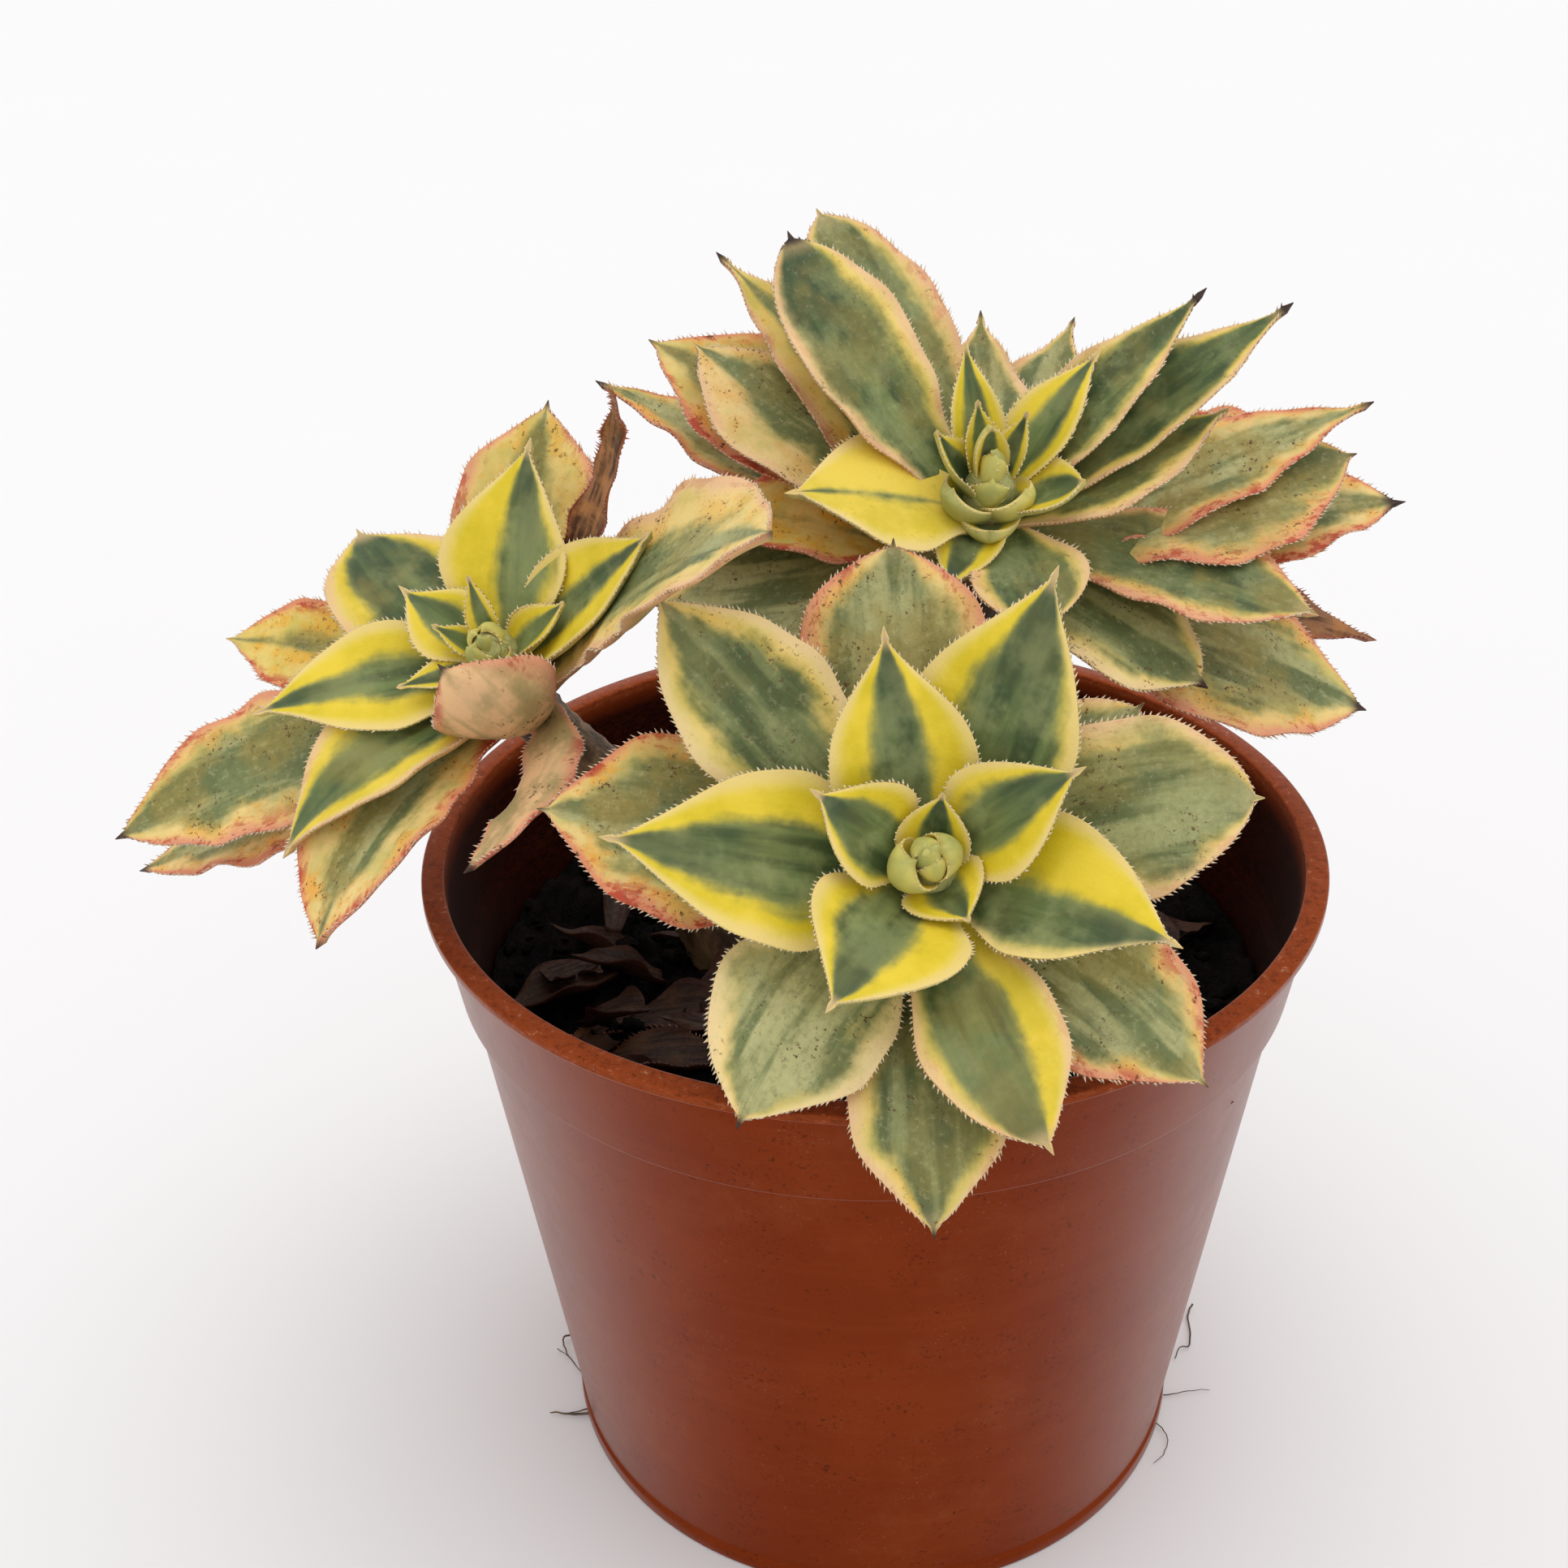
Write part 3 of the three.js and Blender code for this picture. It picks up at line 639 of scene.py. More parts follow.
def mottle_group():
    tree, b, given, results = new_group(
        "soft_mottle",
        {"Place": "NodeSocketVector", "Size": "NodeSocketFloat"},
        {"Cloud": "NodeSocketFloat", "Grain": "NodeSocketFloat"})
    b.feed(results["Cloud"], b.noise(given["Place"], b.math("DIVIDE", 1.0, given["Size"]), 4.0, 0.6))
    b.feed(results["Grain"], b.noise(given["Place"], b.math("DIVIDE", 9.0, given["Size"]), 3.0, 0.65))
    return tree


STREAKS = streaks_group()
SPECKS = specks_group()
MOTTLE = mottle_group()
print("groups:", [tree.name for tree in (STREAKS, SPECKS, MOTTLE)])

# %% [markdown]
# The leaf's colour is built from the middle outwards: an olive green with soft lengthwise streaks, a band
# that is lemon on young leaves and cream on old ones, and a thin pale margin that carries the teeth. On
# old leaves red gathers in blotches at the edge, specks of soil stick to the face and the tip dries.

# %% Leaf material
def leaf_colour(b):
    along, across, under = b.split(b.attribute("leaf_share"))
    yellow, blush, green_share = b.split(b.attribute("leaf_look"))
    dry, tooth, lean = b.split(b.attribute("leaf_wear"))
    place = b.attribute("leaf_place")
    streaks = b.group(STREAKS, {"Place": place, "Fineness": 0.42})
    mottle = b.group(MOTTLE, {"Place": place, "Size": 7.0})
    age = b.minus(1.0, yellow)
    specks = b.group(SPECKS, {"Place": place, "Amount": age})

    # How far a point is inside the green middle, which narrows towards the tip of an old leaf
    ragged = b.plus(0.3, b.times(age, 0.4))
    ragged = b.times(b.minus(streaks["Streak"], 0.5), ragged)
    uneven = b.plus(0.5, b.times(age, 0.55))
    clouded = b.times(b.minus(mottle["Cloud"], 0.5), uneven)
    zone = b.plus(b.math("ABSOLUTE", b.minus(across, lean)), b.plus(ragged, clouded))
    spread = b.minus(0.3, b.times(yellow, 0.4))
    zone = b.plus(zone, b.times(b.ramp(along, 0.7, 1.0), spread))
    depth = b.minus(green_share, zone)
    softness = b.minus(1.0, b.times(age, 0.5))
    green_mask = b.ramp(b.times(depth, softness), -0.12, 0.12)

    # Green middle, deep by the midrib and paler on old leaves
    green = b.paint(
        b.two_tone(streaks["Streak"], 0.4, 0.6, (64, 82, 44), (108, 124, 70)),
        (b.ramp(streaks["Fibre"], 0.4, 0.64, 0.35, 0.0), (58, 72, 46)),
        (b.ramp(mottle["Cloud"], 0.46, 0.64, 0.0, 0.55), (150, 158, 104)),
        (b.times(b.ramp(along, 0.45, 1.0, 0.0, 0.6), yellow), (66, 82, 60)))
    faded = b.two_tone(streaks["Streak"], 0.42, 0.6, (120, 128, 80), (196, 190, 134))
    green = b.mix(b.ramp(age, 0.4, 1.0, 0.0, 0.85), green, faded)
    olive = b.ramp(b.noise(place, 0.11, 3.0, 0.6), 0.42, 0.62)
    green = b.paint(
        green,
        (b.times(olive, blush, 0.8), (156, 138, 70)),
        (b.ramp(depth, 0.0, 0.24, 0.45, 0.0), (150, 152, 84)))

    # Band beside it, lemon or cream
    edge_ward = b.math("ABSOLUTE", across)
    lemon = b.paint(
        b.two_tone(mottle["Cloud"], 0.35, 0.65, (214, 190, 34), (234, 206, 58)),
        (b.ramp(edge_ward, 0.72, 1.0, 0.0, 0.75), (236, 212, 128)))
    warm = b.ramp(b.noise(place, 0.2, 4.0, 0.65), 0.44, 0.62)
    cream = b.paint(
        b.two_tone(mottle["Cloud"], 0.4, 0.6, (208, 190, 116), (236, 206, 142)),
        (b.times(warm, blush), (230, 164, 78)))
    band = b.mix(yellow, cream, lemon)
    colour = b.mix(green_mask, band, green)

    # Thin pale margin, pinker with age, and where red gathers on it
    wobble = b.times(b.minus(mottle["Cloud"], 0.5), 0.5)
    edge = b.plus(edge_ward, wobble)
    margin = b.two_tone(blush, 0.2, 1.0, (240, 220, 156), (238, 174, 100))
    broad = b.times(b.ramp(edge, 0.66, 0.94), b.plus(b.times(age, 0.7), 0.14))
    colour = b.mix(broad, colour, margin)
    line = b.times(b.ramp(edge, 0.8, 0.99, 0.0, 0.92), b.times(blush, 1.3, clamp=True))
    pink = b.two_tone(blush, 0.3, 0.95, (234, 196, 160), (222, 138, 106))
    colour = b.mix(line, colour, pink)
    blotch = b.ramp(b.noise(b.stretch(place, (0.4, 0.8, 1.0)), 0.6, 5.0, 0.75), 0.51, 0.59)
    blotch = b.times(blotch, b.ramp(edge, 0.62, 0.95), b.ramp(blush, 0.3, 1.0))

    # Red blotches, the straw point of a young leaf, dark stipple on the green and pale dots
    colour = b.paint(
        colour,
        (b.times(blotch, 0.85), (182, 56, 32)),
        (b.times(b.ramp(along, 0.92, 1.0, 0.0, 0.8), yellow), (222, 190, 136)),
        (b.times(b.ramp(mottle["Grain"], 0.5, 0.66, 0.0, 0.32), age, green_mask), (88, 94, 56)),
        (b.times(b.ramp(mottle["Grain"], 0.3, 0.46, 0.3, 0.0), age), (206, 200, 150)))

    # Under side, yellow green on young leaves and tan or pink on old ones
    tan = b.two_tone(mottle["Cloud"], 0.4, 0.6, (168, 142, 98), (232, 182, 138))
    young = b.two_tone(mottle["Cloud"], 0.4, 0.6, (168, 172, 98), (202, 198, 106))
    belly = b.paint(
        b.mix(yellow, tan, young),
        (b.times(b.ramp(streaks["Fibre"], 0.5, 0.68), b.plus(0.12, b.times(age, 0.4))), (142, 136, 90)),
        (b.times(b.ramp(edge, 0.64, 1.0), blush), (222, 152, 118)),
        (b.times(blotch, 0.7), (166, 62, 50)))
    colour = b.mix(b.times(under, 0.9), colour, belly)

    # Teeth, dust, specks of soil and the dried tip
    drying = b.plus(b.minus(along, b.minus(1.02, dry)), b.times(wobble, 0.1))
    colour = b.paint(
        colour,
        (b.ramp(tooth, 0.2, 0.9, 0.0, 0.9), (240, 224, 196)),
        (b.times(specks["Dust"], 0.25), (226, 220, 192)),
        (b.times(specks["Crumbs"], 1.2, clamp=True), (92, 62, 36)),
        (b.times(b.ramp(drying, -0.02, 0.02), b.ramp(dry, 0.0, 0.02)), (62, 44, 36)))
    return colour, place, streaks, mottle


def leaf_material():
    material, b, shader = new_material("leaf_skin")
    colour, place, streaks, mottle = leaf_colour(b)
    b.coat(shader, colour, mottle["Grain"], 0.45, 0.6)
    pores = b.noise(place, 3.2, 2.0, 0.6)
    b.bump(shader, b.plus(b.times(pores, 0.35), b.times(streaks["Fibre"], 0.8)), 0.35, 0.00035)
    shader.inputs["Specular IOR Level"].default_value = 0.25
    return material


LEAF_SKIN = leaf_material()
print("leaf nodes:", len(LEAF_SKIN.node_tree.nodes))

# %% [markdown]
# A dead leaf keeps its shape and loses its colour: it goes brown, its veins stand out as dark lines, and
# its edges turn red. It reads the same attributes, so the veins still run lengthwise. In the damp of the
# soil it goes on to rot and blackens, so one number mixes the brown towards black.

# %% Dry leaf material
def dry_leaf_material(name, rot):
    """A dead leaf: rot 0 is crisp and brown, rot 1 has gone black in the damp soil."""
    material, b, shader = new_material(name)
    place = b.attribute("leaf_place")
    share = b.split(b.attribute("leaf_share"))
    tooth = b.split(b.attribute("leaf_wear"))[1]
    streaks = b.group(STREAKS, {"Place": place, "Fineness": 0.8})
    mottle = b.group(MOTTLE, {"Place": place, "Size": 5.0})
    edge = b.ramp(b.math("ABSOLUTE", share[1]), 0.75, 1.0)
    brown = b.paint(
        b.two_tone(streaks["Fibre"], 0.38, 0.6, (74, 44, 30), (150, 104, 68)),
        (b.ramp(mottle["Cloud"], 0.45, 0.65), (178, 122, 72)),
        (b.ramp(streaks["Streak"], 0.55, 0.7, 0.0, 0.6), (110, 96, 70)),
        (b.times(edge, 0.6), (170, 84, 54)),
        (rot, (32, 13, 12)),
        (b.ramp(tooth, 0.2, 0.9, 0.0, 0.6), (206, 158, 144)))
    b.coat(shader, brown, mottle["Grain"], 0.5, 0.8)
    shader.inputs["Specular IOR Level"].default_value = 0.3
    b.bump(shader, b.plus(streaks["Fibre"], b.times(mottle["Grain"], 0.4)), 0.7, 0.0005)
    return material


DRY_LEAF = dry_leaf_material("dry_leaf", 0.0)
DAMP_LEAF = dry_leaf_material("damp_leaf", 0.62)
FALLEN_LEAF = dry_leaf_material("fallen_leaf_red", 0.8)
ROTTEN_LEAF = dry_leaf_material("rotten_leaf", 0.86)

# %% [markdown]
# Now every leaf is made from its row and stands in for its solid. The older a leaf is, the more its edge
# waves. A fixed seed for each leaf keeps the plant the same every time the script runs.

# %% The leaves
WAVES = {"fresh": 0.12, "green": 0.25, "pale": 0.38, "rose": 0.52, "dry": 0.5}


def grow_leaf(side, order, row):
    name = f"{side}_leaf_{order:02d}"
    rng = np.random.default_rng(1000 * len(side) + 17 * order)
    look = dict(TONES[row[10]], **SPECIAL[side].get(order, {}))
    material = DRY_LEAF if row[10] == "dry" else LEAF_SKIN
    arrays = leaf_arrays(ROSETTES[side], row, look, rng, wave=WAVES[row[10]])
    piece = piece_from(f"{name}_skin", [arrays], material)
    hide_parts(name)
    return piece


leaves = [grow_leaf(side, i, row) for side, rows in LEAVES.items() for i, row in enumerate(rows, 1)]
print("leaves:", len(leaves), "faces:", sum(len(piece.data.polygons) for piece in leaves))

# %% [markdown]
# The heart of a rosette is where new leaves unfold. The youngest scales swell outwards, turn up and close
# over the tip like a cabbage, so they are leaves with a strong bend, and the smallest leaves stand around
# them. They are written in the same kind of row, without sway and roll, and grow as one piece, because
# nobody would ever take a single scale away.

# %% The hearts
HEARTS = {
    "front": [
        (30, 0.2, 80, 58, 4.3, 3.6, 80, "scale", "bud"),
        (210, 0.2, 82, 64, 4.5, 3.8, 80, "scale", "bud"),
        (300, 0.6, 66, 66, 3.6, 4.4, 80, "scale", "bud"),
        (120, 0.4, 68, 72, 4, 4.6, 80, "scale", "bud"),
        (20, 1.2, 50, 100, 4.6, 6.2, 74, "scale", "bud"),
        (205, 1.6, 42, 112, 5.2, 7.4, 76, "scale", "bud"),
        (77, 2.8, 50, 4, 7.4, 8.2, 46, "young", "fresh"),
        (302, 2.8, 38, -4, 6.8, 9.4, 38, "young", "fresh"),
    ],
    "back": [
        (20, 1, 80, 56, 4, 3.6, 80, "scale", "bud"),
        (250, 1.2, 78, 60, 4, 4, 80, "scale", "bud"),
        (120, 1.6, 74, 30, 6.6, 5, 62, "scale", "bud"),
        (266, 2.8, 50, 70, 3.6, 5, 64, "scale", "bud"),
        (322, 3.8, 34, 56, 5.2, 7.2, 56, "scale", "bud"),
        (212, 4, 28, 58, 5.6, 7.8, 56, "scale", "bud"),
        (270, 4.6, 14, 40, 4.6, 7.4, 50, "scale", "bud"),
        (166, 3.4, 50, 16, 9, 7, 62, "young", "bud"),
        (112, 2.8, 58, 14, 9, 5.4, 60, "young", "bud"),
        (52, 3, 56, 14, 8.6, 5, 60, "young", "bud"),
        (346, 3.8, 28, 22, 9.8, 8.8, 50, "spoon", "bud"),
        (248, 4.8, 4, -5, 10.4, 8.4, 45, "young", "fresh"),
        (104, 4.2, 44, -6, 15.5, 6.6, 38, "young", "fresh"),
    ],
    "left": [
        (300, 1.4, 72, 60, 2.2, 3, 84, "scale", "bud"),
        (150, 2, 60, 90, 3, 3.6, 70, "scale", "bud"),
        (60, 2.4, 52, 100, 3.4, 4.4, 70, "scale", "bud"),
        (240, 2.6, 48, 104, 3.4, 4.6, 72, "scale", "bud"),
        (95, 3, 56, 0, 8, 4.2, 55, "young", "bud"),
        (160, 3, 45, 0, 6, 4, 50, "young", "bud"),
        (300, 3.2, 42, 20, 6, 4.6, 50, "young", "bud"),
        (205, 3.6, 26, -5, 9.4, 5, 45, "young", "fresh"),
        (14, 3.6, 28, 10, 9.6, 7, 60, "young", "fresh"),
    ],
}
HEART_CORE = 1.6
HEART_WAVE = 0.06
HEART_POINT = 0.4
HEART_STATIONS = 24
SCALE_TEETH, YOUNG_TEETH = 0.3, 0.75


def grow_heart(side):
    rosette = dict(ROSETTES[side], stem=HEART_CORE)
    parts = []
    for i, short_row in enumerate(HEARTS[side]):
        row = short_row[:4] + (0, 0) + short_row[4:]
        rng = np.random.default_rng(500 + 31 * i + len(side))
        teeth = SCALE_TEETH if row[9] == "scale" else YOUNG_TEETH
        parts.append(leaf_arrays(rosette, row, TONES[row[10]], rng, wave=HEART_WAVE, teeth=teeth,
                                 point=HEART_POINT, stations=HEART_STATIONS))
    piece = piece_from(f"{side}_heart", parts, LEAF_SKIN)
    return piece


hearts = [grow_heart(side) for side in ROSETTES]
print("heart faces:", [len(piece.data.polygons) for piece in hearts])

# %% [markdown]
# A stem is a bent tube, but a living one is ringed with the scars of fallen leaves. The tube is swept
# along a smooth curve through a few chosen points, and low ridges are pushed out of it in a spiral.

# %% Stems
STEM_RINGS = 110
STEM_SIDES = 28
FOOT_SPREAD = 0.7
SCAR_RATE = 95
SCAR_HEIGHT = 0.22
KNOT_HEIGHT = 0.35
GRAIN_HEIGHT = 0.12


def tube_faces(rings, sides):
    """Faces between rings of points that are listed one ring after another."""
    faces = []
    for i in range(rings - 1):
        for j in range(sides):
            a, b = i * sides + j, i * sides + (j + 1) % sides
            faces.append((a, b, b + sides, a + sides))
    return faces


def smooth_path(points, count):
    """Catmull-Rom: a smooth curve that passes through every chosen point."""
    points = [2 * points[0] - points[1]] + list(points) + [2 * points[-1] - points[-2]]
    path = []
    for u in np.linspace(0, len(points) - 3 - 1e-6, count):
        k, f = int(u), u - int(u)
        a, b, c, d = points[k:k + 4]
        path.append(0.5 * (2 * b + (c - a) * f + (2 * a - 5 * b + 4 * c - d) * f ** 2
                           + (3 * b - a - 3 * c + d) * f ** 3))
    return np.array(path)


def stem_path(rosette):
    along = rosette_frame(rosette)[0]
    x, y = rosette["root"]
    below = lambda depth: np.array(rosette["apex"]) - along * depth
    over_root = lambda height: np.array([x, y, SOIL_Z + height], float)
    waypoints = [over_root(-SOCKET_DEPTH), over_root(1), below(24) * 0.6 + over_root(12) * 0.4,
                 below(17), below(6), below(-0.45 * rosette["bud"])]
    return smooth_path(waypoints, STEM_RINGS)


def bark_height(u, angle, seed):
    scar = math.sin(u * SCAR_RATE + 2 * angle + seed) ** 8
    knots = noise.noise(Vector((math.cos(angle) * 1.6, math.sin(angle) * 1.6, u * 14 + seed)))
    fine = noise.noise(Vector((math.cos(angle) * 5, math.sin(angle) * 5, u * 60 + seed)))
    return SCAR_HEIGHT * scar + KNOT_HEIGHT * knots + GRAIN_HEIGHT * fine


def stem_arrays(rosette, seed):
    path = stem_path(rosette)
    points, places, shares = [], [], []
    for i, (centre, tangent) in enumerate(zip(path, np.gradient(path, axis=0))):
        u = i / (STEM_RINGS - 1)
        across = unit(np.array([1.0, 0, 0]) - unit(tangent) * unit(tangent)[0])
        over = np.cross(unit(tangent), across)
        radius = rosette["stem"] + FOOT_SPREAD * (1 - u)
        radius *= 0.62 + 0.38 * min(1, (1 - u) / 0.12)
        radius *= math.sqrt(max(0.02, 1 - (max(0, u - 0.94) / 0.06) ** 2))
        for j in range(STEM_SIDES):
            angle = j / STEM_SIDES * 2 * math.pi
            spoke = across * math.cos(angle) + over * math.sin(angle)
            points.append(centre + spoke * (radius + bark_height(u, angle, seed)))
            places.append((u * 60, radius * angle, seed * 7.0))
            shares.append((u, angle / math.pi - 1, 0))
    top = (STEM_RINGS - 1) * STEM_SIDES
    caps = [tuple(reversed(range(STEM_SIDES))), tuple(range(top, top + STEM_SIDES))]
    return dict(points=np.array(points) * MM, faces=tube_faces(STEM_RINGS, STEM_SIDES) + caps,
                leaf_share=np.array(shares), leaf_place=np.array(places))


# %% [markdown]
# Bark changes along the stem: brown and woody at the foot, and green where the stem is still young near the
# heart. At the very top, inside the heart, it is paler still, partly young tissue and partly painted light in
# the shaded hollow there. The share of the way along the stem, written on every point, drives that change.

# %% Bark material
def bark_material():
    material, b, shader = new_material("stem_bark")
    place = b.attribute("leaf_place")
    along = b.split(b.attribute("leaf_share"))[0]
    mottle = b.group(MOTTLE, {"Place": place, "Size": 3.0})
    streaks = b.group(STREAKS, {"Place": place, "Fineness": 1.1})
    specks = b.group(SPECKS, {"Place": place, "Amount": 0.8})
    woody = b.two_tone(mottle["Cloud"], 0.38, 0.62, (70, 50, 34), (132, 104, 72))
    fresh = b.two_tone(mottle["Cloud"], 0.38, 0.62, (138, 130, 76), (166, 152, 96))
    colour = b.paint(
        b.mix(b.ramp(along, 0.72, 0.92), woody, fresh),
        # Pale top inside the heart: partly young tissue, partly painted light in the shaded hollow
        (b.ramp(along, 0.86, 0.93), (176, 176, 112)),
        (b.ramp(streaks["Fibre"], 0.55, 0.7, 0.0, 0.45), (60, 44, 32)),
        (b.times(specks["Dust"], 0.5), (186, 166, 134)))
    b.coat(shader, colour, mottle["Grain"], 0.55, 0.8)
    b.bump(shader, b.plus(mottle["Cloud"], b.times(streaks["Fibre"], 0.6)), 0.6, 0.0005)
    return material


BARK = bark_material()
for seed, (side, rosette) in enumerate(ROSETTES.items(), 1):
    stem = piece_from(f"{side}_stem", [stem_arrays(rosette, seed * 3.1)], BARK)
    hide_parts(f"{side}_shoot")
    print(side, "stem top at", [round(float(c), 1) for c in stem_path(rosette)[-1]])

# %% [markdown]
# The pot, the posts that cut its drain holes, the soil and the floor are all round, so one function turns
# a profile about the upright axis. A small arc at each corner catches the light the way moulded plastic
# does. It could be a Bevel modifier, but here the profile itself is rounded, which costs less.

# %% Turned shapes
def rounded(profile, radius, steps=3):
    """The profile with its inner corners replaced by short arcs."""
    points = [np.array(p, float) for p in profile]
    result = [points[0]]
    for before, corner, after in zip(points, points[1:], points[2:]):
        reach = min(radius, 0.45 * np.linalg.norm(corner - before), 0.45 * np.linalg.norm(after - corner))
        start = corner + unit(before - corner) * reach
        end = corner + unit(after - corner) * reach
        for f in np.linspace(0, 1, steps + 1):
            result.append((1 - f) ** 2 * start + 2 * f * (1 - f) * corner + f ** 2 * end)
    return result + [points[-1]]


def turned(name, profile, steps, wobble=lambda radius, angle, z: (0, 0)):
    """Points of [radius, height] pairs turned round Z, with a point on the axis at each end."""
    points, rows = [], []
    for radius, z in profile:
        if radius < 1e-6:
            rows.append([len(points)] * steps)
            points.append((0, 0, z * MM))
            continue
        rows.append(list(range(len(points), len(points) + steps)))
        for j in range(steps):
            angle = j / steps * 2 * math.pi
            push, rise = wobble(radius, angle, z)
            r = (radius + push) * MM
            points.append((r * math.cos(angle), r * math.sin(angle), (z + rise) * MM))
    faces = []
    for low, high in zip(rows, rows[1:]):
        for j in range(steps):
            k = (j + 1) % steps
            face = [low[j], low[k], high[k], high[j]]
            faces.append(tuple(dict.fromkeys(face)))
    mesh = bpy.data.meshes.new(name)
    mesh.from_pydata(points, [], faces)
    piece = bpy.data.objects.new(name, mesh)
    bpy.context.collection.objects.link(piece)
    return piece


corner = rounded([(0, 0), (1, 0), (1, 1)], 0.3)
print("a rounded corner:", [point.round(2).tolist() for point in corner])

# %% [markdown]
# The pot is a thin moulded shell, so a turned profile gives it exactly. What a bare profile lacks is the
# life of real plastic: a lip that isn't quite round, and a wall that the mould left very slightly uneven.
# The drain holes are cut through the base with a Boolean modifier.

# %% The pot
TURN_STEPS = 220
EDGE_RADIUS = 0.28
STEP_BELOW, STEP_ABOVE = 1.4, 1
CUTTER_FOOT, CUTTER_TOP, CUTTER_STEPS = -1, 6, 32


def pot_profile():
    body_top = BAND_FOOT_RADIUS - BAND_STEP
    lip_inner = LIP_RADIUS - LIP_WIDTH
    ring_inner = FOOT_RADIUS - FOOT_RING_WIDTH
    up_the_wall = (FLOOR_TOP - FOOT_HEIGHT) / (BAND_FOOT_Z - FOOT_HEIGHT)
    floor_radius = FOOT_RADIUS + (body_top - FOOT_RADIUS) * up_the_wall
    return rounded([
        (0, 0), (REST_PAD_RADIUS, 0), (REST_PAD_RADIUS + 1, CHANNEL_Z), (ring_inner - 1, CHANNEL_Z),
        (ring_inner, 0), (FOOT_RADIUS, 0),
        (FOOT_RADIUS, FOOT_HEIGHT - 0.4), (FOOT_RADIUS - 0.35, FOOT_HEIGHT),
        (body_top, BAND_FOOT_Z - 0.15), (BAND_FOOT_RADIUS, BAND_FOOT_Z),
        (BAND_TOP_RADIUS, POT_HEIGHT - LIP_THICKNESS - 0.2), (LIP_RADIUS, POT_HEIGHT - LIP_THICKNESS),
        (LIP_RADIUS, POT_HEIGHT), (lip_inner, POT_HEIGHT),
        (BAND_FOOT_RADIUS - WALL, BAND_FOOT_Z + STEP_ABOVE), (body_top - WALL, BAND_FOOT_Z - STEP_BELOW),
        (floor_radius - WALL, FLOOR_TOP), (0, FLOOR_TOP),
    ], EDGE_RADIUS)


def pot_wobble(radius, angle, z):
    if z < FOOT_HEIGHT or radius < FOOT_RADIUS - FOOT_RING_WIDTH:
        return 0, 0
    up = max(0, (z - 40) / 43)
    push = 0.12 * up * math.sin(2 * angle + 0.7) + 0.06 * up * math.sin(5 * angle + 2)
    rise = 0.1 * up * math.sin(3 * angle + 1) if z > POT_HEIGHT - 3 else 0
    return push, rise


def drain_cutters():
    middle = (REST_PAD_RADIUS + FOOT_RADIUS - FOOT_RING_WIDTH) / 2
    cutters = []
    for i in range(DRAIN_HOLES):
        angle = (i + 0.5) / DRAIN_HOLES * 2 * math.pi
        profile = [(0, CUTTER_FOOT), (DRAIN_HOLE_RADIUS, CUTTER_FOOT), (DRAIN_HOLE_RADIUS, CUTTER_TOP),
                   (0, CUTTER_TOP)]
        post = turned("cutter", profile, CUTTER_STEPS)
        post.location = (middle * MM * math.cos(angle), middle * MM * math.sin(angle), 0)
        cutters.append(post)
    return cutters


def cut_away(piece, cutters):
    for post in cutters:
        cut = piece.modifiers.new("drain", "BOOLEAN")
        cut.object = post
        cut.solver = "EXACT"
    bpy.context.view_layer.update()
    settled = piece.evaluated_get(bpy.context.evaluated_depsgraph_get())
    mesh = bpy.data.meshes.new_from_object(settled)
    piece.modifiers.clear()
    piece.data = mesh
    for post in cutters:
        bpy.data.objects.remove(post)


def mark_inner_wall(mesh):
    """One value a point, 1 on the inner wall and floor, where the painted shade goes."""
    layer = mesh.attributes.new("inner_wall", "FLOAT", "POINT")
    heights = (FLOOR_TOP, BAND_FOOT_Z - STEP_BELOW, BAND_FOOT_Z + STEP_ABOVE, POT_HEIGHT)
    radii = (FOOT_RADIUS - WALL + 0.3, BAND_FOOT_RADIUS - BAND_STEP - WALL, BAND_FOOT_RADIUS - WALL,
             LIP_RADIUS - LIP_WIDTH)
    for vertex in mesh.vertices:
        x, y, z = vertex.co / MM
        inside = math.hypot(x, y) < np.interp(z, heights, radii) + 0.35
        layer.data[vertex.index].value = float(z > CHANNEL_Z + 0.5 and inside)


pot = turned("pot_shell", pot_profile(), TURN_STEPS, pot_wobble)
cut_away(pot, drain_cutters())
mark_inner_wall(pot.data)
pot.data.shade_smooth()
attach(pot, "root")
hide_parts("pot")
print("pot faces:", len(pot.data.polygons), "size:", [round(d / MM, 1) for d in pot.dimensions])

# %% [markdown]
# The pot's plastic is a warm orange brown, nearly matt, and paler where it turns away from the eye. Handling
# has left pale scuffs on the lip, a few hair-thin upright scratches on the body and flow rings from the
# mould. The lip is painted a lighter brown as a painted highlight, and the inner wall is painted near black
# as painted shade.

# %% Pot material
def object_place(b):
    """Where a point is, in mm, so that patterns have their real size."""
    place = b.add("ShaderNodeTexCoord", out="Object")
    return b.stretch(place, (1 / MM, 1 / MM, 1 / MM))


